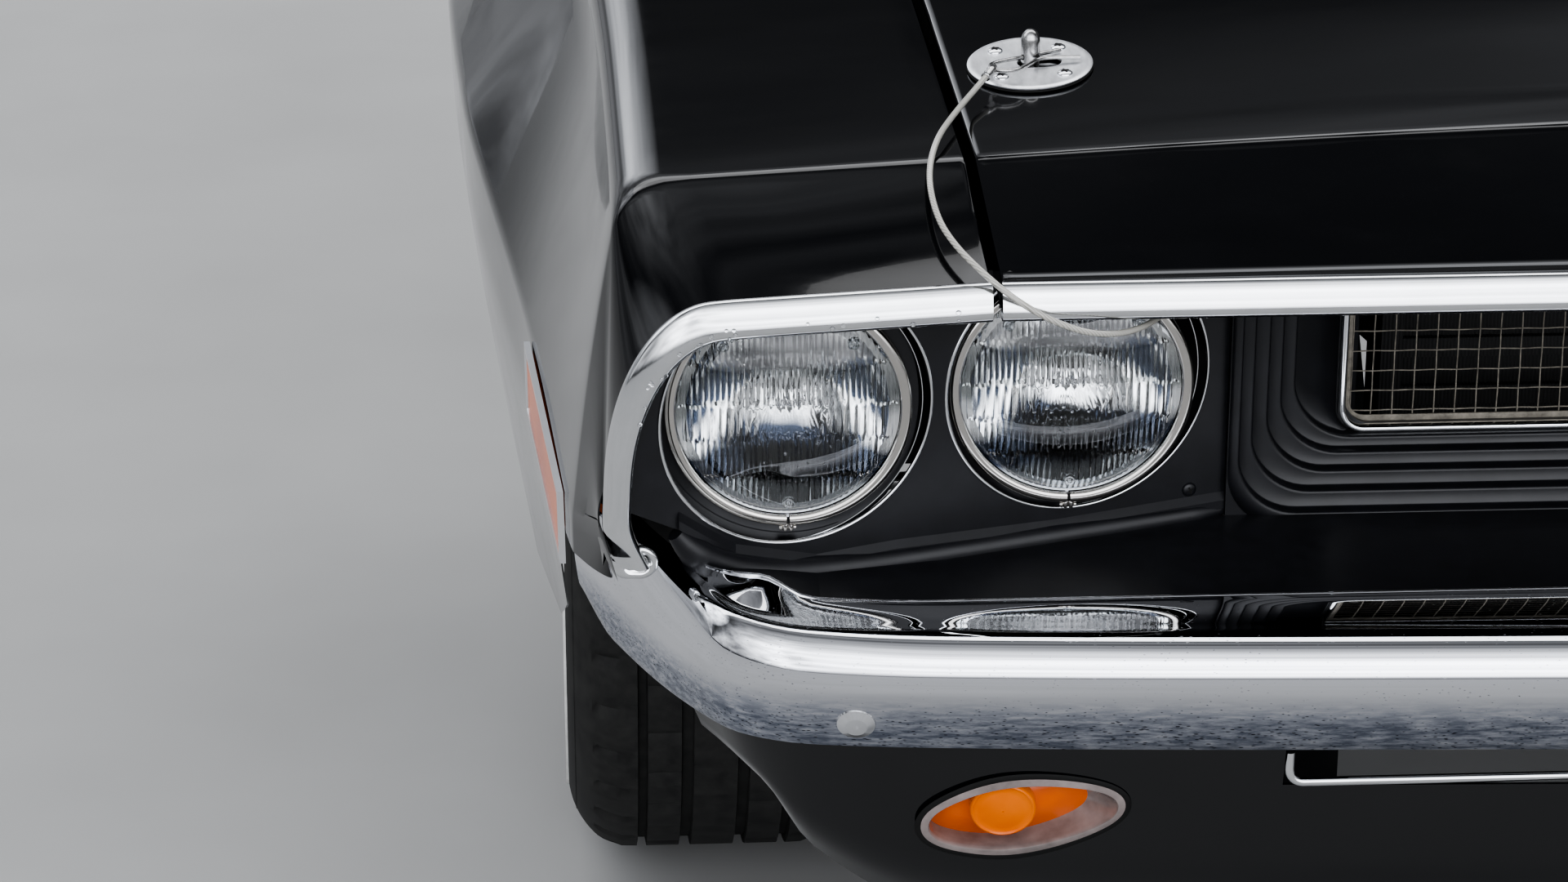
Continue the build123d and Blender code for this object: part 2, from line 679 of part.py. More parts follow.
def bumper_bracket():
    """The arm from a rail's front end to the bumper: a riser and a plate that reaches out to the bolt."""
    low, high = BOLT_Z - 4, BOLT_Z + 8
    inner = RAIL_X - 25
    outer = RAIL_X + 25
    rear = RAIL_FRONT_Y - FIT
    reach = BUMPER_T + FIT + 1
    front_in = bumper_face_y(inner, low) + reach
    front_out = bumper_face_y(outer, low) + reach
    bolt_in = bumper_face_y(BOLT_X - 25, low) + reach + 1
    bolt_out = bumper_face_y(BOLT_X + 20, low) + reach + 2
    plate = prism_z(
        [
            (inner, -800), (inner, front_in), (outer, front_out), (outer, -835), (BOLT_X - 25, bolt_in),
            (BOLT_X + 20, bolt_out), (BOLT_X + 20, bolt_out + 16), (outer + 30, -780), (outer, rear),
            (inner, rear),
        ],
        low, high,
    )
    riser = block(inner, outer, -790, rear, RAIL_Z - RAIL_H / 2, low)
    return plate + riser


def bumper_point(row, back, z):
    """A point behind the bumper's widest line, square to its heading."""
    x, y, heading = BUMPER[row][:3]
    turn = radians(heading)
    return (x - sin(turn) * back, y + cos(turn) * back, z)


def valance_section(number):
    """A closed wall section of the valance, hung behind the bumper's lower lip."""
    bend, bend_z, low, low_z = VALANCE[number]
    wide_z, lip_z, _, low_in = BUMPER[number][6:]
    t = VALANCE_T
    lip = low_in + BUMPER_T + FIT
    top = lip - low_in * VALANCE_LAP / (wide_z - lip_z)
    front = [(top, lip_z + VALANCE_LAP), (lip, lip_z), (bend, bend_z), (low, low_z)]
    back = [(reach + t, z) for reach, z in reversed(front)]
    return outline([bumper_point(number, reach, z) for reach, z in front + back])


def valance_y(x, z):
    """The valance's front face between the bumper's lip and its bend, along the straight front."""
    share_x = x / BUMPER[1][0]
    ends = []
    for number in (0, 1):
        bend, bend_z = VALANCE[number][:2]
        lip = BUMPER[number][9] + BUMPER_T + FIT
        lip_z = BUMPER[number][7]
        back = lip + (bend - lip) * (lip_z - z) / (lip_z - bend_z)
        ends.append(bumper_point(number, back, z)[1])
    return ends[0] + share_x * (ends[1] - ends[0])


def signal_plug(grow, lift, depth):
    """A tilted oval plug through the valance, its end faces parallel to the valance's face."""
    half_x, half_z = SIGNAL_HALF_X + grow, SIGNAL_HALF_Z + grow
    turn = radians(SIGNAL_TILT)
    face = valance_y(SIGNAL_X, SIGNAL_Z)
    slope_z = (valance_y(SIGNAL_X, SIGNAL_Z + 10) - face) / 10
    slope_x = (valance_y(SIGNAL_X + 10, SIGNAL_Z) - face) / 10

    def at(u, v):
        """A point u outboard and v up in the oval's own tilted axes."""
        dx = u * cos(turn) + v * sin(turn)
        dz = v * cos(turn) - u * sin(turn)
        return (SIGNAL_X + dx, face + slope_x * dx + slope_z * dz + lift, SIGNAL_Z + dz)

    points = [at(-half_x, 0.1 * half_z), at(0.1 * half_x, half_z), at(half_x, 0), at(0.1 * half_x, -half_z)]
    mids = {
        0: at(-0.55 * half_x, 0.8 * half_z), 1: at(0.78 * half_x, 0.66 * half_z),
        2: at(0.78 * half_x, -0.66 * half_z), 3: at(-0.55 * half_x, -0.66 * half_z),
    }
    return Solid.extrude(Face(outline(points, mids)), Vector(0, depth, 0))


def valance():
    half = Solid.make_loft([valance_section(number) for number in range(len(VALANCE))], ruled=True)
    half -= signal_plug(0, -60, 120)
    whole = half + mirrored(half)
    intake = block(-INTAKE_HALF, INTAKE_HALF, -1000, -700, INTAKE_Z, 520)
    return whole - intake


def signal_housing():
    """The lamp's body: a cup through the valance with a rim in front of it."""
    rim = signal_plug(4, -FIT - 3, 3)
    body = signal_plug(-FIT, -FIT - 1, 50)
    hollow = signal_plug(-3, -FIT - 4, 50)
    return rim + body - hollow


def signal_lens():
    return signal_plug(-3 - FIT, -FIT - 6, 9)


def valance_trim():
    """The bright strip along the intake's lower edge, turned up at its ends."""
    low = INTAKE_Z + FIT
    height = 6.0
    y = valance_y(300, low) - 4
    half = INTAKE_HALF - FIT
    strip = block(-half, half, y, y + 12, low, low + height)
    for side in (-1, 1):
        x = side * (half - height / 2)
        strip += block(x - height / 2, x + height / 2, y, y + 12, low, low + 26)
    return strip


def plane_height(a, b, c, x, y):
    """The height at (x, y) of the plane through three points."""
    normal = (Vector(*b) - Vector(*a)).cross(Vector(*c) - Vector(*a))
    return a[2] - (normal.X * (x - a[0]) + normal.Y * (y - a[1])) / normal.Z


def filler():
    """The panel between the lamp panels, the grille cavity and the bumper's shelf, in flat strips."""
    # Columns: x, front y, rear y
    rows = (
        (0.0, -857.0, cavity_front() - FIT),
        (PANEL_IN_X - 3, -857.0, cavity_front() - FIT),
        (PANEL_IN_X + 6, -857.0, cavity_front() - FIT),
        (BUMPER[1][0], -857.0, panel_y(BUMPER[1][0]) - RIDGE_OUT - FIT),
        (711.0, -856.0, panel_y(711.0) - RIDGE_OUT - FIT),
        (766.0, -841.0, panel_y(766.0) - RIDGE_OUT - FIT),
    )
    sections = []
    edge = None
    for x, front, rear in rows:
        front_z = between(BUMPER, x, 4) - BUMPER_T - 3 * FIT
        rear_z = plane_height(edge[0], edge[1], (x, front, front_z), x, rear) if edge else FILLER_REAR_Z
        edge = ((x, front, front_z), (x, rear, rear_z))
        sections.append(
            outline([*edge, (x, rear, rear_z - FILLER_T), (x, front, front_z - FILLER_T)])
        )
    half = Solid.make_loft(sections, ruled=True)
    return half + mirrored(half)


def marker_solid(grow, out, depth):
    """A long slab on the fender's side just below the crease, which follows the side's slight twist."""
    first, last = MARKER_Y[0] - grow, MARKER_Y[1] + grow
    sections = []
    for step in range(MARKER_STEPS + 1):
        y = first + step * (last - first) / MARKER_STEPS
        share = (y - SKIN[1][0]) / (SKIN[2][0] - SKIN[1][0])
        cx, cz, ex, ez = (SKIN[1][k] + share * (SKIN[2][k] - SKIN[1][k]) for k in (8, 9, 12, 13))
        slope = (ex - cx) / (cz - ez)
        low, high = MARKER_DROP + MARKER_H + grow, MARKER_DROP - grow
        (x0, z0), (x1, z1) = [(cx + slope * down + out, cz - down) for down in (low, high)]
        sections.append(outline([(x0, y, z0), (x1, y, z1), (x1 - depth, y, z1), (x0 - depth, y, z0)]))
    return Solid.make_loft(sections, ruled=True)


def marker_bezel():
    return marker_solid(BEZEL_W, BEZEL_T + FIT, BEZEL_T) - marker_solid(0, 3 * BEZEL_T, 6 * BEZEL_T)


def marker_lens():
    return marker_solid(-FIT, MARKER_T + FIT, MARKER_T)


def firewall():
    """The bulkhead, with its steering column, heater and wiring holes."""
    half = FIREWALL_W / 2
    front = FIREWALL_Y - FIREWALL_T
    wall = block(-half, half, front, FIREWALL_Y, FIREWALL_FOOT, FIREWALL_TOP)
    tunnel = Solid.make_cylinder(170, 40, Plane(origin=(0, front - 10, FIREWALL_FOOT - 60), z_dir=(0, 1, 0)))
    wall -= tunnel
    # Columns: x, z, radius
    holes = ((372.0, 668.0, 36.0), (-300.0, 700.0, 26.0), (-372.0, 700.0, 26.0), (180.0, 760.0, 20.0))
    for x, z, radius in holes:
        wall -= Solid.make_cylinder(radius, 40, Plane(origin=(x, front - 10, z), z_dir=(0, 1, 0)))
    for x in (-FIREWALL_BOLT_X, FIREWALL_BOLT_X):
        for z in FIREWALL_BOLT_Z:
            wall -= Solid.make_cylinder(5.5, 40, Plane(origin=(x, front - 10, z), z_dir=(0, 1, 0)))
    return wall


def cowl_panel():
    """The plenum ahead of the windscreen, with air slots in its top."""
    half = COWL_W / 2
    low = FIREWALL_TOP + FIT
    front = 556.0
    wall = 3.0
    rear = FIREWALL_Y - FIREWALL_T - FIT
    box = block(-half, half, front, FIREWALL_Y, low - 70, low + 12)
    box -= block(-half + wall, half - wall, front + wall, rear - wall, low - 70 + wall, low + 12 - wall)
    box -= block(-half - 1, half + 1, rear, FIREWALL_Y + 1, low - 80, low)
    for side in (-1, 1):
        for number in range(7):
            x = side * (110 + 62 * number)
            box -= block(x - 24, x + 24, front + 22, front + 30, low, low + 20)
            box -= block(x - 24, x + 24, front + 42, front + 50, low, low + 20)
    return box


def frame_rail():
    """One box-section rail, open at its front end."""
    x0, x1 = RAIL_X - RAIL_W / 2, RAIL_X + RAIL_W / 2
    z0, z1 = RAIL_Z - RAIL_H / 2, RAIL_Z + RAIL_H / 2
    w = RAIL_WALL
    rail = block(x0, x1, RAIL_FRONT_Y, FIREWALL_Y, z0, z1)
    return rail - block(x0 + w, x1 - w, RAIL_FRONT_Y + w, FIREWALL_Y - w, z0 + w, z1 - w)


def inner_fender():
    """The upright wall above the rail and the wheel housing outboard of it."""
    foot = RAIL_Z + RAIL_H / 2 + FIT
    rear = FIREWALL_Y - FIREWALL_T - FIT
    front = SUPPORT_Y + SUPPORT_T + FIT
    wall = prism_x([(front, foot), (rear, foot), (rear, SHELF_Z), (front, SHELF_Z)], WALL_X, WALL_X + WELL_T)
    foot_strip = block(RAIL_X - 10, WALL_X + WELL_T, front, rear, foot, foot + 3)
    outer = 928.0
    ring = Solid.make_cylinder(WELL_R + WELL_T, outer - WALL_X, Plane(origin=(WALL_X, 0, TYRE_R), z_dir=(1, 0, 0)))
    ring -= Solid.make_cylinder(WELL_R, outer - WALL_X, Plane(origin=(WALL_X, 0, TYRE_R), z_dir=(1, 0, 0)))
    ring -= block(400, 1000, -600, 600, -200, 470)
    # The housing stays inside the fender's side, which narrows forwards
    ring -= prism_z([(800, -600), (860, -600), (905, -300), (924, 0), (921, 600), (1100, 600), (1100, -600)],
                    300, 900)
    web_x = 600.0
    shelf = block(WALL_X, web_x + WELL_T, front, rear, SHELF_Z - WELL_T, SHELF_Z)
    sections = []
    for y in (front, SKIN[3][0], SKIN[4][0], rear):
        gap_x = between(SKIN[2:], y, 2) if y > SKIN[2][0] else SKIN[2][2]
        top = between(SKIN[2:], y, 3) - FLANGE_H - FIT
        x = gap_x + PANEL_GAP
        sections.append(
            outline([(x, y, top), (x + SKIN_T, y, top), (web_x + WELL_T, y, SHELF_Z - 1), (web_x, y, SHELF_Z - 1)])
        )
    web = Solid.make_loft(sections, ruled=True)
    return wall + foot_strip + ring + shelf + web


def radiator_support():
    """The upright frame that carries the radiator, with its opening."""
    half = 470.0
    foot = RAIL_Z + RAIL_H / 2 + FIT
    back = SUPPORT_Y + SUPPORT_T
    plate = block(-half, half, SUPPORT_Y, back, foot, SHELF_Z)
    low = block(-RAIL_X + RAIL_W / 2 + FIT, RAIL_X - RAIL_W / 2 - FIT, SUPPORT_Y, back, 320, foot)
    frame = plate + low
    frame -= block(-320, 320, SUPPORT_Y - 1, back + 1, 352, 740)
    reach = WALL_X - FIT
    frame += block(-reach, reach, back - 1, back + 30, SHELF_Z - 20, SHELF_Z)
    # Shelves at each side carry the hood pins
    for side in (-1, 1):
        x0, x1 = sorted((side * (PIN_X - 110), side * (PIN_X + 30)))
        frame += block(x0, x1, PIN_Y - 30, back, 780, 786)
    return frame


def radiator():
    y0 = SUPPORT_Y + SUPPORT_T + FIT
    core = block(-300, 300, y0, y0 + 52, 380, 700)
    for number in range(9):
        z = 396 + number * 36
        core -= block(-285, 285, y0 - 1, y0 + 6, z, z + 22)
    top = block(-330, 330, y0, y0 + 62, 700, 765)
    low = block(-330, 330, y0, y0 + 62, 335, 380)
    neck = rod((180, y0 + 31, 765), (180, y0 + 31, 779), 24)
    return core + top + low + neck


# The engine's slanting flank, which rests on its mounts: x, z at its two ends
ENGINE_FLANK = ((200.0, 470.0), (330.0, 590.0))


def engine_block():
    """The whole engine as one plain mass at its real size and place."""
    right_side = [(-120, 790), (-130, 640), (-250, 700), (-330, 590), (-200, 470), (-150, 400), (-120, 262)]
    return prism_y(right_side + [(-x, z) for x, z in reversed(right_side)], -330, 470)


def mount_z(x):
    """The top of an engine mount, just under the engine's flank."""
    (x0, z0), (x1, z1) = ENGINE_FLANK
    slope = (z1 - z0) / (x1 - x0)
    return z0 + slope * (x - x0) - FIT * sqrt(1 + slope ** 2)


def k_member():
    """The crossmember under the engine: a channel between the rails with its engine mounts."""
    inner = RAIL_X - RAIL_W / 2
    top = RAIL_Z - RAIL_H / 2 - FIT
    member = prism_y(
        [
            (-MEMBER_HALF, top), (-MEMBER_HALF, 205), (-inner + 50, 190), (-230, 158), (230, 158),
            (inner - 50, 190), (MEMBER_HALF, 205), (MEMBER_HALF, top), (inner - 40, top), (250, 238),
            (-250, 238), (-inner + 40, top),
        ],
        -75, 75,
    )
    mount = [(250, 225), (310, 280), (262, mount_z(262)), (232, mount_z(232)), (205, 300)]
    for side in (-1, 1):
        member += prism_y([(side * x, z) for x, z in mount], -60, 40)
    return member


def knuckle():
    """The steering knuckle: upright, spindle, ball joints, caliper and steering arm, as one rigid piece."""
    x = KINGPIN_X
    wheel_x = TRACK / 2
    upright = prism_x([(-34, 245), (34, 245), (26, 335), (22, 428), (-22, 428), (-26, 335)], x - 16, x + 16)
    spindle = rod((x, 0, TYRE_R), (wheel_x + 26, 0, TYRE_R), SPINDLE_R)
    boss = rod((x, 0, TYRE_R), (x + 30, 0, TYRE_R), 34)
    upper = rod((x, 0, 420), (x, 0, KNUCKLE_TOP_Z), 15)
    lower = rod((x, 0, KNUCKLE_LOW_Z), (x, 0, 250), 18)
    arm = prism_z(
        [(x - 16, -10), (x + 10, -10), (x + 10, 24), (TIE_X + 16, ARM_R - 4), (TIE_X + 16, ARM_R),
         (TIE_X - 14, ARM_R), (TIE_X - 14, ARM_R - 20), (x - 16, 40)],
        TIE_Z + 19, TIE_Z + 31,
    )
    eye = rod((TIE_X, ARM_R, TIE_Z + EYE_HALF + FIT), (TIE_X, ARM_R, TIE_Z + 31), 16)
    disc_x = wheel_x - DISC_INSET
    back = -DISC_R - 4
    caliper = block(disc_x - CALIPER_HALF, disc_x + CALIPER_HALF, back - 14, back + 50, 290, 385)
    caliper -= block(disc_x - DISC_T / 2 - 1, disc_x + DISC_T / 2 + 1, back, back + 60, 200, 450)
    bridge = block(x - 16, x + 12, back + 30, 0, 320, 350)
    return upright + spindle + boss + upper + lower + arm + eye + caliper + bridge


def tyre():
    half = TYRE_W / 2
    r = TYRE_R
    rim = RIM_R
    flat = RIM_W / 2 - 8
    profile = [
        (-flat, rim), (-flat, rim + 13.5), (-half + 8, rim + 34), (-half, rim + 75), (-half + 8, r - 34),
        (-half + 26, r - 8), (-half + 44, r), (half - 44, r), (half - 26, r - 8), (half - 8, r - 34),
        (half, rim + 75), (half - 8, rim + 34), (flat, rim + 13.5), (flat, rim),
    ]
    return turned(profile, (TRACK / 2, 0, TYRE_R), (1, 0, 0))


def rim():
    """A steel wheel: barrel, dished centre with five windows, and the stud holes."""
    r = RIM_R - FIT
    half = RIM_W / 2
    wall = 5.0
    barrel = turned(
        [
            (-half, r + 12), (-half + 5, r + 12), (-half + 7, r), (half - 7, r), (half - 5, r + 12),
            (half, r + 12), (half, r - wall), (-half, r - wall),
        ],
        (TRACK / 2, 0, TYRE_R), (1, 0, 0),
    )
    barrel -= turned(
        [(-half + 8, r), (-half + 8, r + 20), (half - 8, r + 20), (half - 8, r)], (TRACK / 2, 0, TYRE_R), (1, 0, 0)
    )
    inner = r - wall + 1
    centre = turned(
        [
            (10, 42), (10, 74), (32, 96), (48, 150), (26, inner), (36, inner), (58, 150), (42, 92), (20, 72),
            (20, 42),
        ],
        (TRACK / 2, 0, TYRE_R), (1, 0, 0),
    )
    for number in range(5):
        turn = radians(72 * number)
        y, z = 124 * cos(turn), TYRE_R + 124 * sin(turn)
        centre -= rod((TRACK / 2, y, z), (TRACK / 2 + 90, y, z), 20)
        turn += radians(36)
        y, z = STUD_PCD / 2 * cos(turn), TYRE_R + STUD_PCD / 2 * sin(turn)
        centre -= rod((TRACK / 2, y, z), (TRACK / 2 + 60, y, z), 7.5)
    return barrel + centre


def hub():
    """Brake disc, hub, studs with nuts and the grease cap."""
    x = TRACK / 2
    back = -DISC_INSET - DISC_T / 2
    front = -DISC_INSET + DISC_T / 2
    face = HUB_FACE - FIT
    bore = SPINDLE_R + RUN
    parts = turned(
        [
            (back, 78), (back, DISC_R), (front, DISC_R), (front, 84), (face, 84), (face, 34), (46, 34), (58, 22),
            (62, 0), (50, 0), (50, bore), (-36, bore), (-36, 30), (face - 7, 30), (face - 7, 78),
        ],
        (x, 0, TYRE_R), (1, 0, 0),
    )
    for number in range(5):
        turn = radians(36 + 72 * number)
        y, z = STUD_PCD / 2 * cos(turn), TYRE_R + STUD_PCD / 2 * sin(turn)
        parts += rod((x + 5, y, z), (x + 40, y, z), 6)
        parts += rod((x + 20 + FIT, y, z), (x + 36, y, z), 10)
    return parts


def lower_arm():
    """The lower control arm with its ball-joint cup below the knuckle."""
    z1 = KNUCKLE_LOW_Z - FIT
    z0 = z1 - 24
    inner = MEMBER_HALF + FIT
    arm = prism_z(
        [(inner, -26), (KINGPIN_X - 10, -20), (KINGPIN_X + 18, -12), (KINGPIN_X + 18, 12),
         (KINGPIN_X - 10, 20), (inner, 26)],
        z0, z1,
    )
    return arm + rod((inner, 0, z1 - 12), (inner + 24, 0, z1 - 12), 22)


def upper_arm():
    """The wishbone above: two legs from the housing's wall to the ball joint."""
    z0 = KNUCKLE_TOP_Z + FIT
    z1 = z0 + 15
    inner = WALL_X + WELL_T + FIT
    legs = prism_z(
        [(inner, -130), (inner, -95), (KINGPIN_X - 36, -14), (KINGPIN_X - 36, 14), (inner, 95), (inner, 130),
         (KINGPIN_X - 10, 24), (KINGPIN_X + 14, 12), (KINGPIN_X + 14, -12), (KINGPIN_X - 10, -24)],
        z0, z1,
    )
    pads = block(inner, inner + 14, -135, -90, z0 - 5, z1 + 10) + block(inner, inner + 14, 90, 135, z0 - 5, z1 + 10)
    return legs + pads


def centre_link():
    """The cross rod under the pitman and idler arms, with an eye at each end for a tie rod."""
    y = ARM_R
    link = rod((-INNER_TIE_X, y, TIE_Z), (INNER_TIE_X, y, TIE_Z), 10)
    for side in (-1, 1):
        eye = side * INNER_TIE_X
        link += rod((eye, y, TIE_Z - EYE_HALF), (eye, y, TIE_Z + EYE_HALF), TIE_END_R)
        link += rod((side * PITMAN_X, y, TIE_Z - PIN_HALF), (side * PITMAN_X, y, TIE_Z + PIN_HALF), 17)
    return link


def tie_rod():
    """The rod from the steering arm in to the cross rod, with its adjusting sleeve."""
    y = ARM_R
    high = TIE_Z + TIE_TOP
    length = TIE_X - INNER_TIE_X
    slope = TIE_TOP / length
    tie = rod((INNER_TIE_X, y, high), (TIE_X, y, TIE_Z), 7.5)
    sleeve = [(INNER_TIE_X + share * length, y, high - slope * share * length) for share in (0.3, 0.68)]
    tie += rod(sleeve[0], sleeve[1], 11)
    tie += rod((TIE_X, y, TIE_Z - EYE_HALF), (TIE_X, y, TIE_Z + EYE_HALF), TIE_END_R)
    return tie + rod((INNER_TIE_X, y, TIE_Z + EYE_HALF + FIT), (INNER_TIE_X, y, high + EYE_HALF), TIE_END_R)


def pitman_arm(side):
    """A short arm above the cross rod; the left one is turned by the steering box."""
    x = side * PITMAN_X
    z0, z1 = TIE_Z + PIN_HALF + FIT, TIE_Z + PITMAN_TOP
    end = PITMAN_Y - ARM_R
    arm = prism_z([(x - 15, PITMAN_Y), (x + 15, PITMAN_Y), (x + 13, end), (x - 13, end)], z0, z1)
    return arm + rod((x, PITMAN_Y, z0), (x, PITMAN_Y, z1), 24) + rod((x, end, z0), (x, end, z1), 17)


def steering_box():
    """The steering box on the left rail, its output shaft ending above the pitman arm."""
    low = TIE_Z + PITMAN_TOP + FIT
    inner = RAIL_X - RAIL_W / 2 - FIT
    box = block(inner - 62, inner, PITMAN_Y - 50, PITMAN_Y + 70, 290, 420)
    return box + rod((PITMAN_X, PITMAN_Y, low), (PITMAN_X, PITMAN_Y, 300), 20)


def idler_bracket():
    """The fixed bracket on the right rail that the idler arm turns under."""
    low = TIE_Z + PITMAN_TOP + FIT
    inner = RAIL_X - RAIL_W / 2 - FIT
    plate = block(-inner, -inner + 8, PITMAN_Y - 30, PITMAN_Y + 30, 300, 400)
    return plate + block(-inner, -PITMAN_X + 20, PITMAN_Y - 22, PITMAN_Y + 22, 296, 308) + rod(
        (-PITMAN_X, PITMAN_Y, low), (-PITMAN_X, PITMAN_Y, 300), 18
    )


def hood_pin(side):
    """The threaded post with its bullet head, cross hole and the nut on the shelf."""
    x = side * PIN_X
    top = hood_z(PIN_X, PIN_Y) + PLATE_T + PIN_ABOVE
    shelf = 786.0 + FIT
    post = turned(
        [(0, 0), (0, 12), (9, 12), (9, PIN_R), (top - shelf - 6, PIN_R), (top - shelf - 1.5, PIN_R - 2.2),
         (top - shelf, 0)],
        (x, PIN_Y, shelf), (0, 0, 1),
    )
    hole_z = top - CLIP_DROP
    turn = radians(CLIP_TURN)
    reach_x, reach_y = side * 20 * cos(turn), 20 * sin(turn)
    hole = rod((x - reach_x, PIN_Y + reach_y, hole_z), (x + reach_x, PIN_Y - reach_y, hole_z), CLIP_WIRE / 2 + RUN)
    return post - hole


def hood_pin_clip(side):
    """The hairpin clip: one leg through the post and one bowed round it."""
    top = hood_z(PIN_X, PIN_Y) + PLATE_T + PIN_ABOVE
    z = top - CLIP_DROP
    x = side * PIN_X
    outward = side
    # Points along the clip, from the straight leg's tip: across, along, in the clip's own plane
    points = [(-24, 0), (26, 0), (36, -6), (36, -16), (26, -20), (8, -12), (-14, -13), (-24, -18)]
    turn = radians(CLIP_TURN)
    path = []
    for a, b in points:
        path.append((x + outward * (a * cos(turn) + b * sin(turn)), PIN_Y - (a * sin(turn) - b * cos(turn)), z))
    radii = [4.5, 4.5, 4.5, 5.0, 8.0, 4.0]
    wire = FilletPolyline(*path, radius=radii)
    start = Plane(origin=wire @ 0, z_dir=wire % 0)
    section = Face(Wire.make_circle(CLIP_WIRE / 2, start))
    return Solid.sweep(section, path=wire.wire())


def hood_pin_plate(side):
    """The round striker plate with a keyhole slot, lying on the hood."""
    x = side * PIN_X
    z = hood_z(PIN_X, PIN_Y)
    rise = (hood_z(PIN_X, PIN_Y + 30) - hood_z(PIN_X, PIN_Y - 30)) / 60
    lean = (hood_z(PIN_X + 30, PIN_Y) - hood_z(PIN_X - 30, PIN_Y)) / 60
    normal = (-lean * side, -rise, 1)
    start = Plane(origin=(x, PIN_Y, z + FIT + 0.25), z_dir=normal)
    disc = Solid.make_cylinder(PLATE_R, PLATE_T, start)
    disc -= rod((x, PIN_Y, z - 20), (x, PIN_Y, z + 20), PIN_R + 3)
    return disc - block(
        min(x, x - side * 17), max(x, x - side * 17), PIN_Y - 5, PIN_Y + 5, z - 20, z + 20
    )


def runs_radii(points):
    """The largest tangent radius at each corner that its two runs allow."""
    radii = []
    for before, here, after in zip(points, points[1:], points[2:]):
        first = Vector(*here) - Vector(*before)
        second = Vector(*after) - Vector(*here)
        turn = radians(first.get_angle(second))
        radii.append(0.45 * min(first.length, second.length) / tan(turn / 2))
    return radii


def lanyard(side):
    points = [(side * -x, y, z) for x, y, z in LANYARD]
    radii = runs_radii(points)
    path = FilletPolyline(*points, radius=radii)
    section = Face(Wire.make_circle(LANYARD_D / 2, Plane(origin=path @ 0, z_dir=path % 0)))
    tube = Solid.sweep(section, path=path.wire())
    if side < 0:
        length = path.wire().length
        share = tube.volume / (3.141593 * (LANYARD_D / 2) ** 2 * length)
        print("lanyard radii", [round(radius) for radius in radii])
        print("lanyard length", round(length, 1), "volume over section times length", round(share, 4))
    return tube


def hood_hinge_bracket(side):
    """A lug on the cowl with the hinge pin."""
    x = side * HINGE_X
    foot = FIREWALL_TOP + FIT + 12 + FIT
    lug = block(x - 4, x + 4, HINGE_Y - 16, HINGE_Y + 16, foot, HINGE_Z + 10)
    inward = -side
    return lug + rod((x, HINGE_Y, HINGE_Z), (x + inward * 18, HINGE_Y, HINGE_Z), HINGE_PIN_R)


def hood_hinge_strap(side):
    """The strap under the hood that turns on the pin."""
    x = side * (HINGE_X - 9.5)
    under = 560.0
    z = hood_z(HINGE_X, under) - HOOD_T - FIT
    strap = prism_x(
        [(430, hood_z(HINGE_X, 430) - HOOD_T - FIT), (under, z), (HINGE_Y, HINGE_Z + 11), (HINGE_Y + 10, HINGE_Z),
         (HINGE_Y, HINGE_Z - 10), (under, z - 14), (430, hood_z(HINGE_X, 430) - HOOD_T - 8)],
        x - 4, x + 4,
    )
    return strap - rod((x - 10, HINGE_Y, HINGE_Z), (x + 10, HINGE_Y, HINGE_Z), HINGE_PIN_R + RUN)


def sides(piece):
    """A piece that is built for each side, as one node."""
    return Compound(list(piece(1).solids()) + list(piece(-1).solids()))


left_knuckle = knuckle()
left_tie = tie_rod()
left_tyre = tyre()
left_rim = rim()
left_hub = hub()

NODES = {
    "firewall": firewall(),
    "cowl_panel": cowl_panel(),
    "frame_rails": pair(frame_rail()),
    "inner_fenders": pair(inner_fender()),
    "radiator_support": radiator_support(),
    "radiator": radiator(),
    "engine_block": engine_block(),
    "k_member": k_member(),
    "fenders": pair(fender_left()),
    "fender_mouldings": pair(fender_moulding()),
    "lamp_panels": pair(lamp_panel()),
    "headlamp_buckets": lamps(lamp_bucket),
    "headlamp_rings": lamps(lamp_ring),
    "headlamp_lenses": lamps(lamp_lens),
    "headlamp_reflectors": lamps(lamp_reflector),
    "grille_shroud": grille_shroud(),
    "grille_surround": grille_surround(),
    "grille_mesh": grille_mesh(),
    "bumper": bumper(),
    "bumper_bolts": bumper_bolts(),
    "bumper_brackets": pair(bumper_bracket()),
    "valance": valance(),
    "valance_trim": valance_trim(),
    "turn_signal_housings": pair(signal_housing()),
    "turn_signal_lenses": pair(signal_lens()),
    "front_filler": filler(),
    "side_marker_bezels": pair(marker_bezel()),
    "side_marker_lenses": pair(marker_lens()),
    "hood": hood(),
    "hood_moulding": hood_moulding(),
    "hood_pin_plates": sides(hood_pin_plate),
    "hood_pins": sides(hood_pin),
    "hood_pin_clips": sides(hood_pin_clip),
    "lanyard_left": lanyard(1),
    "lanyard_right": lanyard(-1),
    "hood_hinge_brackets": sides(hood_hinge_bracket),
    "hood_hinge_straps": sides(hood_hinge_strap),
    "lower_arms": pair(lower_arm()),
    "upper_arms": pair(upper_arm()),
    "steering_box": steering_box(),
    "idler_bracket": idler_bracket(),
    "pitman_arm": pitman_arm(1),
    "idler_arm": pitman_arm(-1),
    "centre_link": centre_link(),
    "tie_rod_left": left_tie,
    "tie_rod_right": mirrored(left_tie),
    "knuckle_left": left_knuckle,
    "knuckle_right": mirrored(left_knuckle),
    "tyre_left": left_tyre,
    "tyre_right": mirrored(left_tyre),
    "rim_left": left_rim,
    "rim_right": mirrored(left_rim),
    "hub_left": left_hub,
    "hub_right": mirrored(left_hub),
}

os.makedirs("parts", exist_ok=True)
to_origin = Location((0, -FIREWALL_Y, -MOUNT_Z))
for name, shape in NODES.items():
    export_step(shape.moved(to_origin), f"parts/{name}.step")
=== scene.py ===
import json
import math
import random

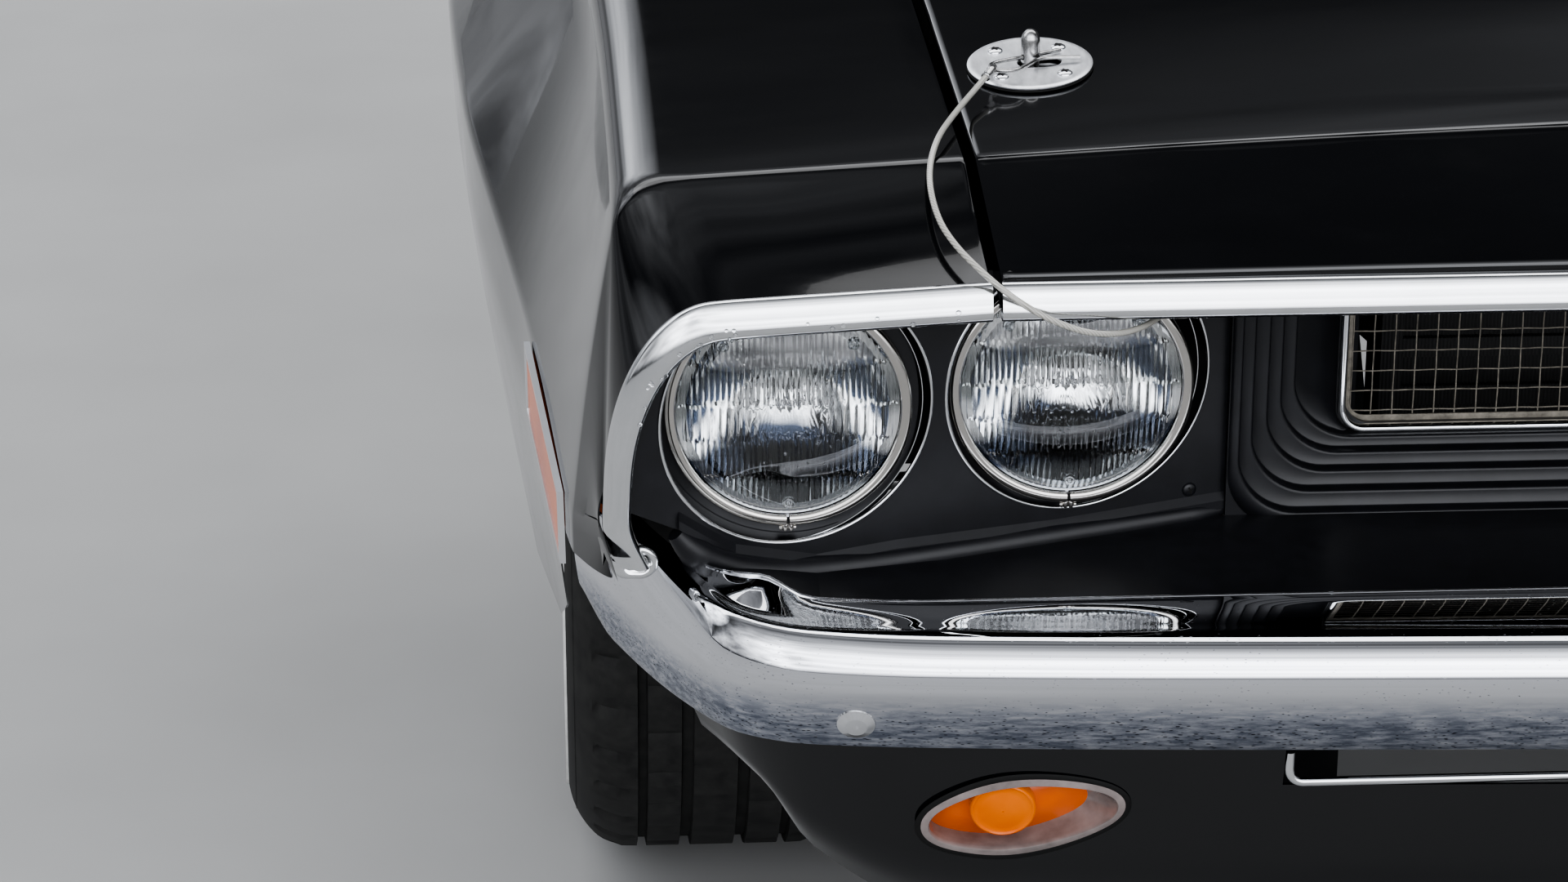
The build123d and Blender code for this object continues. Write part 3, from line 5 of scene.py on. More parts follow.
import bmesh
import bpy
import numpy as np
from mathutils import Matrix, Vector

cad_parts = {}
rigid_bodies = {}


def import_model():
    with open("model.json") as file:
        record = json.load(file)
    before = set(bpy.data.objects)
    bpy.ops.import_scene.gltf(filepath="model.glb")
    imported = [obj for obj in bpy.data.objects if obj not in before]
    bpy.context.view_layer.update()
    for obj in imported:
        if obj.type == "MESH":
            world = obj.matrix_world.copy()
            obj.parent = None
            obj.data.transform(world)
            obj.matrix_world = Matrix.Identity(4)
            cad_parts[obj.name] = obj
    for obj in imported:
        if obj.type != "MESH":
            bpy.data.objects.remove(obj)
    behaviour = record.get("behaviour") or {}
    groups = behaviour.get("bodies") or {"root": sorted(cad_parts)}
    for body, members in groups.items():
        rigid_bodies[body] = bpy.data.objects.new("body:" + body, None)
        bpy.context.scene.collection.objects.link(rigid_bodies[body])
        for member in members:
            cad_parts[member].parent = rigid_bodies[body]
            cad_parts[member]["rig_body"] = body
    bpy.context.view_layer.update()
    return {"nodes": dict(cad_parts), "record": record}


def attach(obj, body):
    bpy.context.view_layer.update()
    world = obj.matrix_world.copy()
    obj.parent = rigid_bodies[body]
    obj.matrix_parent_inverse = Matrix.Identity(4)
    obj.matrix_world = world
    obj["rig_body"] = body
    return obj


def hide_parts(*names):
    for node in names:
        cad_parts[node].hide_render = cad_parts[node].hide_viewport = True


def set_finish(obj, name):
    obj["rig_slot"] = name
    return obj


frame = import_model()
NODES = frame["nodes"]

# Sizes are in mm. Points are given from the axle (y) and the road (z), x = 0 at the car's middle and
# +x to its left. Pieces are made for the left side and mirrored.
AXLE_Y = 640.0    # the row's origin stands this far behind the axle
MOUNT_Z = 600.0   # and this far above the road
FIT = 0.3
LAMP_Z = 675.0


def to_row(points):
    """Points in mm from the axle and the road, in the row frame in metres."""
    return (np.asarray(points, float) - (0.0, AXLE_Y, MOUNT_Z)) / 1000.0


def around(count):
    """Evenly spaced angles round a full circle."""
    return np.linspace(0, 2 * math.pi, count, endpoint=False)


def quarter_turn(count):
    """Evenly spaced angles from 0 to 90 degrees."""
    return np.linspace(0, math.pi / 2, count)


# Node helpers

def put(tree, value, socket):
    """Links another node's output to a socket, or sets a plain value on it."""
    if isinstance(value, bpy.types.NodeSocket):
        tree.links.new(value, socket)
    else:
        socket.default_value = value


def add_node(tree, kind, output, inputs, **settings):
    """One output of a new node, with its inputs set or linked by name or number."""
    node = tree.nodes.new("ShaderNode" + kind)
    for label, value in settings.items():
        setattr(node, label, value)
    for label, value in inputs.items():
        put(tree, value, node.inputs[label])
    return node.outputs[output]


def object_coords(tree, stretch=None):
    coords = add_node(tree, "TexCoord", "Object", {})
    if stretch is None:
        return coords
    return add_node(tree, "Mapping", "Vector", {"Vector": coords, "Scale": stretch})


def noise(tree, scale, detail=4.0, rough=0.5, stretch=None):
    return add_node(tree, "TexNoise", "Fac", {"Vector": object_coords(tree, stretch), "Scale": scale,
                                              "Detail": detail, "Roughness": rough})


def cells(tree, scale, stretch=None):
    """Distance to the nearest of scattered points, for pits and specks."""
    return add_node(tree, "TexVoronoi", "Distance", {"Vector": object_coords(tree, stretch), "Scale": scale})


def waves(tree, scale, direction="X", distortion=0.0):
    return add_node(tree, "TexWave", "Fac", {"Vector": object_coords(tree), "Scale": scale,
                                             "Distortion": distortion}, bands_direction=direction)


def height_of(tree):
    """The object's height coordinate in metres."""
    return add_node(tree, "SeparateXYZ", "Z", {"Vector": object_coords(tree)})


def colours(tree, fac, stops):
    node = tree.nodes.new("ShaderNodeValToRGB")
    elements = node.color_ramp.elements
    while len(elements) < len(stops):
        elements.new(0.5)
    for element, (position, colour) in zip(elements, stops):
        element.position = position
        element.color = (*colour, 1.0)
    put(tree, fac, node.inputs["Fac"])
    return node.outputs["Color"]


def spread(tree, fac, low, high, at=(0.0, 1.0)):
    """A value taken from the range at to the range from low to high."""
    return add_node(tree, "MapRange", "Result", {"Value": fac, "From Min": at[0], "From Max": at[1],
                                                 "To Min": low, "To Max": high})


def combine(tree, operation, a, b):
    return add_node(tree, "Math", "Value", {0: a, 1: b}, operation=operation)


def bump(tree, shader, fac, strength, distance):
    normal = add_node(tree, "Bump", "Normal", {"Strength": strength, "Distance": distance, "Height": fac})
    put(tree, normal, shader.inputs["Normal"])


def material(name, values=None):
    """A new material, its nodes and its shader, with plain values on some of the shader's inputs."""
    mat = bpy.data.materials.new(name)
    mat.use_nodes = True
    tree = mat.node_tree
    shader = tree.nodes["Principled BSDF"]
    for label, value in (values or {}).items():
        shader.inputs[label].default_value = value
    return mat, tree, shader


def blend(dark, light):
    return [(0.3, dark), (0.7, light)]


def scaled(share, tone):
    return tuple(share * c for c in tone)


def grained(name, grain, tones, rough, values=None, relief=None, rough_grain=None, rough_at=(0.0, 1.0)):
    """A material whose colour follows a noise, and its roughness too where rough is a range.

    grain and rough_grain are the arguments of noise(), tones the colour's stops, and relief the arguments
    of a finer noise, the bump's strength and its distance in metres.
    """
    mat, tree, shader = material(name, values)
    fac = noise(tree, *grain)
    put(tree, colours(tree, fac, tones), shader.inputs["Base Color"])
    if isinstance(rough, tuple):
        rough_fac = noise(tree, *rough_grain) if rough_grain else fac
        rough = spread(tree, rough_fac, *rough, rough_at)
    put(tree, rough, shader.inputs["Roughness"])
    if relief:
        fine, strength, distance = relief
        bump(tree, shader, noise(tree, *fine), strength, distance)
    return mat


# Materials

def gloss_black():
    """Deep black enamel under lacquer, with dust, faint swirls and orange peel."""
    enamel = (0.001, 0.0012, 0.0018)
    dusty = [(0.0, enamel), (0.68, enamel), (0.82, (0.012, 0.012, 0.013))]
    return grained("gloss_black", (900, 2, 0.7), dusty, (0.04, 0.16),
                   {"Specular IOR Level": 0.3, "Coat Weight": 0.6, "Coat Roughness": 0.02},
                   ((240, 2, 0.5), 0.04, 0.0002), (9, 5, 0.6, (1.0, 3.0, 3.0)), (0.35, 0.75))


def satin_black(name="satin_black", tone=0.0035, rough=(0.3, 0.46)):
    base = (tone, tone * 1.05, tone * 1.35)
    return grained(name, (60, 6, 0.65), [(0.3, base), (0.75, scaled(2.1, base))], rough,
                   {"Specular IOR Level": 0.38}, ((1400, 3, 0.6), 0.1, 0.0002), (25, 5))


def chrome(name, tone, rough):
    return grained(name, (22, 6, 0.7), blend(scaled(0.9, tone), tone), rough, {"Metallic": 1.0},
                   ((35, 2, 0.5), 0.04, 0.0004), rough_at=(0.35, 0.75))


def pitted_chrome():
    """Old bumper chrome: bright above, with a band of fine pits along the lower face, which is painted darker
    in cloudy patches, partly dull stains and partly a painted reflection of the shadowed underside.
    """
    mat, tree, shader = material("bumper_chrome", {"Metallic": 1.0})
    bright = (0.74, 0.75, 0.78)
    low, high = ((z - MOUNT_Z) / 1000.0 for z in (505.0, 530.0))
    face = spread(tree, height_of(tree), 1.0, 0.0, (low, high))
    band = combine(tree, "MULTIPLY", face, 0.13)
    patch = spread(tree, noise(tree, 7, 3, 0.6, (1.0, 1.0, 4.0)), -0.06, 0.05, (0.35, 0.65))
    pit = combine(tree, "SUBTRACT", cells(tree, 300, (0.55, 1.0, 1.9)), combine(tree, "ADD", band, patch))
    cloudy = spread(tree, noise(tree, 120, 5, 0.7, (0.4, 1.0, 2.5)), 0.3, 1.0, (0.35, 0.6))
    # Painted reflection and stains: the lower face is darkened in cloudy patches, for the shadowed underside
    # it mirrors and for dull stains.
    dark_reflection_and_stain = combine(tree, "MULTIPLY", face, cloudy)
    plate = colours(tree, dark_reflection_and_stain, [(0.0, bright), (0.5, (0.42, 0.44, 0.5)), (1.0, (0.16, 0.18, 0.23))])
    speck = colours(tree, pit, [(0.0, (0.1, 0.1, 0.11)), (0.07, (0.4, 0.4, 0.42)), (0.13, (1.0, 1.0, 1.0))])
    both = add_node(tree, "Mix", "Result", {"Factor": 1.0, "A": plate, "B": speck}, data_type="RGBA",
                    blend_type="MULTIPLY")
    put(tree, both, shader.inputs["Base Color"])
    put(tree, spread(tree, pit, 0.4, 0.02, (0.0, 0.2)), shader.inputs["Roughness"])
    bump(tree, shader, noise(tree, 30, 2, 0.5), 0.05, 0.0004)
    return mat


def brushed():
    """Polished sheet with a fine scratched grain, as on the hood-pin plates."""
    tones = blend((0.74, 0.75, 0.77), (0.92, 0.93, 0.95))
    return grained("brushed_chrome", (260, 5, 0.7, (1.0, 0.25, 1.0)), tones, (0.34, 0.5), {"Metallic": 1.0},
                   ((60, 3, 0.5), 0.08, 0.0004))


def steel():
    return grained("plated_steel", (180, 5, 0.6), blend((0.26, 0.255, 0.25), (0.5, 0.5, 0.5)), (0.12, 0.3),
                   {"Metallic": 1.0}, ((700, 3), 0.05, 0.0002))


def cast(name, tone):
    rusty = (tone[0] * 1.9, tone[1] * 1.5, tone[2] * 1.2)
    return grained(name, (90, 6, 0.7), [(0.3, scaled(0.6, tone)), (0.62, tone), (0.8, rusty)], (0.55, 0.85),
                   {"Metallic": 0.3}, ((420, 4, 0.7), 0.35, 0.0008))


def rubber(name="tyre_rubber", dark=0.010, light=0.026):
    return grained(name, (70, 5, 0.6), [(0.3, (dark, dark, dark)), (0.75, (light, light, light * 0.94))],
                   (0.6, 0.85), {"Specular IOR Level": 0.25}, ((900, 3, 0.6), 0.2, 0.0004))


def white_rubber():
    return grained("white_rubber", (50, 5, 0.6), blend((0.55, 0.55, 0.53), (0.75, 0.75, 0.73)), 0.6)


def glass():
    return grained("clear_glass", (20, 3), blend((0.95, 0.975, 0.985), (0.98, 0.99, 1.0)), 0.0,
                   {"Transmission Weight": 1.0, "IOR": 1.5})


# Painted reflection on the lamps' bowls: road, trees and sky painted into their colour as bands, from the
# foot up. Columns: share of the height, colour
BOWL_PAINTED_REFLECTION = (
    (0.0, (0.34, 0.34, 0.35)), (0.15, (0.26, 0.27, 0.28)), (0.2, (0.03, 0.037, 0.055)),
    (0.3, (0.035, 0.044, 0.064)), (0.34, (0.55, 0.55, 0.55)), (0.38, (1.0, 1.0, 1.0)),
    (0.46, (0.92, 0.92, 0.92)), (0.5, (0.36, 0.37, 0.36)), (0.58, (0.22, 0.23, 0.23)),
    (0.68, (0.45, 0.45, 0.44)), (1.0, (0.5, 0.49, 0.48)),
)


def painted_reflection_bowl():
    """Silvered bowl with a painted reflection: road, trees and sky painted into its colour as bands by
    height.
    """
    mat, tree, shader = material("silvered_bowl_painted_reflection", {"Metallic": 1.0})
    low, high = ((LAMP_Z + reach - MOUNT_Z) / 1000.0 for reach in (-75.0, 75.0))
    level = spread(tree, height_of(tree), 0.0, 1.0, (low, high))
    wavy = combine(tree, "ADD", level, spread(tree, noise(tree, 14, 3, 0.5), -0.05, 0.05, (0.35, 0.65)))
    # Painted reflection: the colour follows the height bands, slightly waved.
    put(tree, colours(tree, wavy, BOWL_PAINTED_REFLECTION), shader.inputs["Base Color"])
    put(tree, spread(tree, noise(tree, 30, 5, 0.6), 0.01, 0.07), shader.inputs["Roughness"])
    return mat


def amber(name, dark, bright, glow):
    """Moulded amber plastic; glow is painted light, an emission that stands for the daylight that it gathers.
    """
    mat, tree, shader = material(name, {"Emission Strength": glow, "Roughness": 0.25, "Coat Weight": 0.35,
                                        "Specular IOR Level": 0.2, "Coat Roughness": 0.04})
    tone = colours(tree, noise(tree, 25, 3), blend(dark, bright))
    put(tree, tone, shader.inputs["Base Color"])
    put(tree, tone, shader.inputs["Emission Color"])
    return mat


def signal_rim():
    return grained("signal_rim", (55, 4), blend((0.12, 0.1, 0.095), (0.24, 0.2, 0.19)), (0.12, 0.25),
                   {"Coat Weight": 0.8}, rough_grain=(30, 4))


def cable():
    """Steel strand under a clear coat that has yellowed a little."""
    coat = {"Roughness": 0.3, "Coat Weight": 1.0, "Coat Roughness": 0.08}
    mat, tree, shader = material("coated_cable", coat)
    strand = waves(tree, 240, "DIAGONAL", 1.5)
    tones = [(0.0, (0.22, 0.215, 0.19)), (0.6, (0.4, 0.39, 0.355))]
    put(tree, colours(tree, strand, tones), shader.inputs["Base Color"])
    bump(tree, shader, strand, 0.15, 0.0002)
    return mat


def wire_metal():
    return grained("mesh_wire", (120, 5, 0.65), blend((0.11, 0.1, 0.083), (0.3, 0.275, 0.23)), (0.4, 0.65),
                   {"Metallic": 0.5})


def fins():
    mat, tree, shader = material("radiator_fins", {"Roughness": 0.6})
    rows = waves(tree, 120)
    tones = [(0.2, (0.001, 0.001, 0.001)), (0.8, (0.006, 0.006, 0.006))]
    put(tree, colours(tree, rows, tones), shader.inputs["Base Color"])
    bump(tree, shader, rows, 0.5, 0.001)
    return mat


def wheel_paint():
    return grained("wheel_paint", (40, 5, 0.6), blend((0.2, 0.2, 0.21), (0.34, 0.345, 0.35)), (0.3, 0.5),
                   {"Metallic": 0.7, "Coat Weight": 0.3}, ((600, 3), 0.08, 0.0002))


def water():
    return grained("water_drop", (50, 2), blend((0.97, 0.98, 0.99), (1.0, 1.0, 1.0)), 0.0,
                   {"Transmission Weight": 1.0, "IOR": 1.33})


PAINT = gloss_black()
SATIN = satin_black()
UNDER = satin_black("underbody_black", 0.006, (0.6, 0.8))
CHROME = chrome("chrome_plate", (0.78, 0.79, 0.81), (0.01, 0.06))
BUMPER_CHROME = pitted_chrome()
TRIM = chrome("bright_trim", (0.74, 0.75, 0.76), (0.05, 0.14))
PLATE = brushed()
RING = chrome("ring_steel", (0.56, 0.54, 0.51), (0.1, 0.22))
STEEL = steel()
CAST = cast("cast_iron", (0.05, 0.048, 0.045))
ENGINE = cast("engine_casting", (0.07, 0.072, 0.078))
RUBBER = rubber()
# Real gaskets and seals, and also painted shade: the screws' cross recess pieces are made in this near-black
# rubber.
BLACK_RUBBER_AND_RECESS_SHADE = rubber("gasket_rubber_and_recess_shade", 0.003, 0.006)
WHITE = white_rubber()
GLASS = glass()
BOWL = painted_reflection_bowl()
# Both ambers carry a painted glow for the daylight in the unlit lamps; the second is also brighter in colour
# for it, on the round optics.
AMBER = amber("amber_plastic", (0.42, 0.06, 0.002), (0.6, 0.11, 0.004), 0.1)
AMBER_PAINTED_GLOW = amber("amber_painted_glow", (0.55, 0.1, 0.0005), (0.68, 0.15, 0.001), 0.08)
RIM_GREY = signal_rim()
CABLE = cable()
WIRE = wire_metal()
FINS = fins()
WHEEL = wheel_paint()
WATER = water()

BY_SLOT = {
    "black_paint": PAINT, "satin_black": SATIN, "chrome": CHROME, "bright_trim": TRIM, "clear_glass": GLASS,
    "reflector": BOWL, "amber_lens": AMBER, "signal_rim": RIM_GREY, "mesh_metal": WIRE, "steel": STEEL,
    "coated_cable": CABLE, "cast_iron": CAST, "radiator_metal": FINS, "engine_paint": ENGINE, "tyre": RUBBER,
    "wheel_paint": WHEEL,
}
UNDERSIDE = {"frame_rails", "inner_fenders", "radiator_support", "k_member", "bumper_brackets"}
slot_of = {part["node"]: part["material_slot"] for part in frame["record"]["subparts"]}
for name, node in NODES.items():
    node.data.materials.clear()
    node.data.materials.append(UNDER if name in UNDERSIDE else BY_SLOT[slot_of[name]])


# Mesh helpers

def link_object(name, data):
    thing = bpy.data.objects.new(name, data)
    bpy.context.collection.objects.link(thing)
    return thing


def closed_mesh(name, points, faces, outward=True):
    """A mesh from points in mm; outward turns the faces of closed shapes to the outside."""
    mesh = bpy.data.meshes.new(name)
    mesh.from_pydata([tuple(v) for v in to_row(points)], [], [tuple(int(k) for k in f) for f in faces])
    if outward:
        bm = bmesh.new()
        bm.from_mesh(mesh)
        bmesh.ops.remove_doubles(bm, verts=bm.verts, dist=1e-6)
        bmesh.ops.recalc_face_normals(bm, faces=bm.faces)
        bm.to_mesh(mesh)
        bm.free()
    return mesh


def smoothed(mesh, angle):
    """Smooth shading, with edges sharp from that angle on."""
    mesh.shade_smooth()
    if angle:
        mesh.set_sharp_from_angle(angle=math.radians(angle))


def add_mesh(name, points, faces, mat, body, slot, angle=40, outward=True):
    mesh = closed_mesh(name, points, faces, outward)
    mesh.update()
    piece = link_object(name, mesh)
    mesh.materials.append(mat)
    smoothed(mesh, angle)
    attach(piece, body)
    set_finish(piece, slot)
    return piece


def grid_faces(rows, columns, ring=False, loop=False, first=0):
    """Quads of a grid; ring closes its columns and loop its rows."""
    faces = []
    for i in range(rows if loop else rows - 1):
        for j in range(columns if ring else columns - 1):
            i2, j2 = (i + 1) % rows, (j + 1) % columns
            faces.append((first + i * columns + j, first + i * columns + j2,
                          first + i2 * columns + j2, first + i2 * columns + j))
    return faces


class Shape:
    """Points and faces of several parts that end up as one piece."""

    def __init__(self):
        self.points = []
        self.faces = []

    def add(self, points, faces):
        first = len(self.points)
        self.points += [tuple(p) for p in np.asarray(points, float).reshape(-1, 3)]
        self.faces += [tuple(first + k for k in f) for f in faces]
        return self

    def tube(self, rings, loop=False):
        """A closed skin through rings of points, capped unless it closes on itself."""
        rings = np.asarray(rings, float)
        rows, columns = rings.shape[:2]
        faces = grid_faces(rows, columns, ring=True, loop=loop)
        if not loop:
            last = (rows - 1) * columns
            faces += [tuple(range(columns)), tuple(range(last + columns - 1, last - 1, -1))]
        return self.add(rings, faces)

    def mirrored(self):
        """Adds the mirror image across the car's middle."""
        count = len(self.points)
        self.points += [(-x, y, z) for x, y, z in self.points]
        self.faces += [tuple(count + k for k in reversed(f)) for f in self.faces]
        return self

    def piece(self, name, mat, body, slot, angle=40):
        return add_mesh(name, self.points, self.faces, mat, body, slot, angle)


def axes_of(direction):
    """A unit vector along a direction and two square to it."""
    along = np.asarray(direction, float)
    along = along / np.linalg.norm(along)
    guess = np.array((0.0, 0.0, 1.0)) if abs(along[2]) < 0.9 else np.array((1.0, 0.0, 0.0))
    side = guess - along * guess.dot(along)
    side = side / np.linalg.norm(side)
    return along, side, np.cross(along, side)


def turned(shape, profile, origin, direction, count=48, start=0.0, sweep=360.0):
    """A profile of (distance along, radius) points turned about a line, closed into a ring."""
    along, side, other = axes_of(direction)
    profile = np.asarray(profile, float)
    whole = sweep >= 360.0
    angles = np.radians(start + np.linspace(0.0, sweep, count + (0 if whole else 1), endpoint=not whole))
    rings = []
    for angle in angles:
        out = side * math.cos(angle) + other * math.sin(angle)
        rings.append(np.asarray(origin, float) + profile[:, :1] * along + profile[:, 1:] * out)
    return shape.tube(rings, loop=whole)


def frames_along(path):
    """Two steady cross directions at each point of a path."""
    path = np.asarray(path, float)
    tangents = np.gradient(path, axis=0)
    tangents /= np.linalg.norm(tangents, axis=1)[:, None]
    _, side, _ = axes_of(tangents[0])
    frames = []
    for tangent in tangents:
        side = side - tangent * side.dot(tangent)
        side /= np.linalg.norm(side)
        frames.append((side, np.cross(tangent, side)))
    return frames


def bar(shape, path, radius, sides=10):
    """A round bar along a path; radius may be a list."""
    path = np.asarray(path, float)
    radii = np.broadcast_to(radius, (len(path),))
    rings = []
    for point, (u, v), r in zip(path, frames_along(path), radii):
        rings.append([point + r * (math.cos(a) * u + math.sin(a) * v) for a in around(sides)])
    return shape.tube(rings)


def smooth_path(points, spacing):
    """A curve through points, sampled at about even spacing (centripetal Catmull-Rom)."""
    points = np.asarray(points, float)
    ends = np.concatenate([[2 * points[0] - points[1]], points, [2 * points[-1] - points[-2]]])
    out = []
    for k in range(1, len(ends) - 2):
        p0, p1, p2, p3 = ends[k - 1:k + 3]
        t1 = np.linalg.norm(p1 - p0) ** 0.5
        t2 = t1 + np.linalg.norm(p2 - p1) ** 0.5
        t3 = t2 + np.linalg.norm(p3 - p2) ** 0.5
        steps = max(2, int(np.linalg.norm(p2 - p1) / spacing))
        for t in np.linspace(t1, t2, steps, endpoint=False):
            a1 = (t1 - t) / t1 * p0 + t / t1 * p1
            a2 = (t2 - t) / (t2 - t1) * p1 + (t - t1) / (t2 - t1) * p2
            a3 = (t3 - t) / (t3 - t2) * p2 + (t - t2) / (t3 - t2) * p3
            b1 = (t2 - t) / t2 * a1 + t / t2 * a2
            b2 = (t3 - t) / (t3 - t1) * a2 + (t - t1) / (t3 - t1) * a3
            out.append((t2 - t) / (t2 - t1) * b1 + (t - t1) / (t2 - t1) * b2)
    out.append(points[-1])
    return np.array(out)


def pchip(ts, ys, t):
    """Monotone cubic through (ts, ys) at the values t; ys may have several columns."""
    ts = np.asarray(ts, float)
    ys = np.asarray(ys, float)
    t = np.asarray(t, float)
    flat = ys.reshape(len(ts), -1)
    h = np.diff(ts)[:, None]
    d = np.diff(flat, axis=0) / h
    m = np.zeros_like(flat)
    m[0], m[-1] = d[0], d[-1]
    for i in range(1, len(ts) - 1):
        same = d[i - 1] * d[i] > 0
        w1 = 2 * h[i] + h[i - 1]
        w2 = h[i] + 2 * h[i - 1]
        with np.errstate(divide="ignore", invalid="ignore"):
            slope = (w1 + w2) / (w1 / d[i - 1] + w2 / d[i])
        m[i] = np.where(same, slope, 0)
    k = np.clip(np.searchsorted(ts, t, side="right") - 1, 0, len(ts) - 2)
    s = ((t - ts[k]) / h[k, 0])[:, None]
    out = ((2 * s ** 3 - 3 * s ** 2 + 1) * flat[k] + (s ** 3 - 2 * s ** 2 + s) * h[k] * m[k]
           + (-2 * s ** 3 + 3 * s ** 2) * flat[k + 1] + (s ** 3 - s ** 2) * h[k] * m[k + 1])
    return out.reshape((len(t),) + ys.shape[1:])


def between(a, b, share):
    """The point at a share of the way from a to b."""
    a, b = np.asarray(a, float), np.asarray(b, float)
    return a + (b - a) * share


def curved(start, pull, end, count):
    """Points from start to end on a curve drawn towards a third point."""
    return [(1 - t) ** 2 * start + 2 * t * (1 - t) * pull + t * t * end for t in np.linspace(0, 1, count)]


def rounded(a, b, c, before, after, count):
    """Points that round the corner b between a and c."""
    a, b, c = (np.asarray(p, float) for p in (a, b, c))
    start = b + (a - b) * before / max(np.linalg.norm(a - b), 1e-9)
    end = b + (c - b) * after / max(np.linalg.norm(c - b), 1e-9)
    return curved(start, b, end, count)


def thicken(piece, thickness):
    """A sheet's thickness in mm, on its inner side."""
    mod = piece.modifiers.new("thickness", "SOLIDIFY")
    mod.thickness = thickness / 1000.0
    mod.offset = -1.0
    mod.use_even_offset = True


def apply_modifiers(piece):
    graph = bpy.context.evaluated_depsgraph_get()
    mesh = bpy.data.meshes.new_from_object(piece.evaluated_get(graph))
    piece.modifiers.clear()
    old = piece.data
    piece.data = mesh
    bpy.data.meshes.remove(old)


def cut(piece, shapes, angle=35):
    """Cuts closed shapes out of a piece."""
    tools = [link_object("cutter", closed_mesh("cutter", shape.points, shape.faces)) for shape in shapes]
    for tool in tools:
        mod = piece.modifiers.new("cut", "BOOLEAN")
        mod.operation = "DIFFERENCE"
        mod.solver = "EXACT"
        mod.object = tool
    apply_modifiers(piece)
    for tool in tools:
        bpy.data.objects.remove(tool)
    smoothed(piece.data, angle)


def prism(outline, axis, low, high):
    """A closed prism along x or y from an outline of (y, z) or (x, z) points."""
    rings = []
    for at in (low, high):
        rings.append([(at, a, b) if axis == "x" else (a, at, b) for a, b in outline])
    return Shape().tube(rings)


def mirror_copy(piece, name):
    """The piece's mirror image across the car's middle."""
    mesh = piece.data.copy()
    for vertex in mesh.vertices:
        vertex.co.x = -vertex.co.x
    mesh.flip_normals()
    copy = link_object(name, mesh)
    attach(copy, piece["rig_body"])
    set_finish(copy, piece["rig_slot"])


# Outer skin

NOSE_Y, NOSE_Z, NOSE_LEAN = -850.0, 777.0, 0.08
BROW_Y, BROW_SWEEP = -789.0, 0.031
GAP = 6.0
ARCH_R, ARCH_Z = 385.0, 322.0
# What is cut away under the fender's nose, seen from the side: y, z
UNDERCUT = ((-900, 578), (-706, 578), (-640, 474), (-500, 404), (-300, 396), (-300, 200), (-900, 200))
# Columns: y, middle z, gap x, z, shoulder inner x, z, shoulder outer x, z, crease x, z, hem x, z,
# flank x, z, from where the side tucks under
SKIN = np.array([
    (NOSE_Y, 779.0, 601.0, 777.0, 775.0, 768.0, 846.0, 640.0, 849.0, 612.0, 842.0, 580.0, 846.0, 597.0),
    (BROW_Y, 848.0, 612.0, 834.0, 806.0, 826.0, 838.0, 800.0, 867.0, 600.0, 832.0, 300.0, 866.0, 540.0),
    (-560.0, 878.0, 623.0, 860.0, 812.0, 851.0, 843.0, 824.0, 895.0, 652.0, 852.0, 300.0, 894.0, 574.0),
    (-300.0, 901.0, 633.0, 882.0, 822.0, 872.0, 854.0, 843.0, 941.0, 727.0, 886.0, 300.0, 938.0, 642.0),
    (0.0, 922.0, 641.0, 902.0, 832.0, 890.0, 866.0, 858.0, 957.0, 740.0, 906.0, 300.0, 954.0, 652.0),
    (635.0, 952.0, 655.0, 930.0, 838.0, 912.0, 872.0, 880.0, 963.0, 745.0, 912.0, 300.0, 960.0, 656.0),
])
CREASE_X = SKIN[1, 8]
HOOD_T, FENDER_T = 0.8, 1.2
SKIN_LIFT = 0.4   # how far the hood's panel stands over the solid
HOLLOW = np.array((0.0, 0.68, -0.73))   # square to the nose, inwards
HOOD_HOLLOW, FENDER_HOLLOW = 3.5, 4.0   # how deep the front face is hollowed
SHOULDER_FULL = 0.79   # how far the shoulder's curve is drawn to its corner
SIDE_SWELL, CREASE_ROUND = 2.2, 7.0


def nose_y(z):
    return NOSE_Y + NOSE_LEAN * (NOSE_Z - z)


def brow_y(x):
    return BROW_Y + BROW_SWEEP * (CREASE_X - x)


def body_rows(ys):
    """Skin values at each y behind the brow."""
    return pchip(SKIN[1:, 0], SKIN[1:, 1:], ys)


def hood_height(x, y):
    """The hood's outer surface behind the brow."""
    mid, gap_x, gap_z = body_rows([y])[0][:3]
    return mid - (mid - gap_z) * (x / gap_x) ** 2


def hood_point(row, share, y):
    """A point of a section of the hood, at a share of the way from its middle to the gap."""
    mid, gap_x, gap_z = row[:3]
    return np.array((gap_x * share, y, mid - (mid - gap_z) * share * share))


def hood_line(share, back, rows_back):
    """One line of the hood's outer panel, from under its nose to the cowl."""
    nose = hood_point(SKIN[0, 1:], share, 0.0)
    nose[1] = nose_y(nose[2])
    brow = hood_point(SKIN[1, 1:], share, 0.0)
    brow[1] = brow_y(brow[0])
    top = [hood_point(row, share, y) for y, row in zip(back, rows_back)]
    line = [nose + (0.0, 8.0, -3.0)]
    for t in np.linspace(0, 0.93, 14):
        hollow = HOLLOW * HOOD_HOLLOW * math.sin(math.pi * t)
        line.append(between(nose, brow, t) + hollow + (0.0, 0.0, 0.5))
    line += rounded(line[-1], brow, top[0], 3.0, 6.0, 6)
    return np.array([*line, *top, top[-1] + (0.0, 1.6, -1.2), top[-1] + (0.0, 2.0, -16.0)])


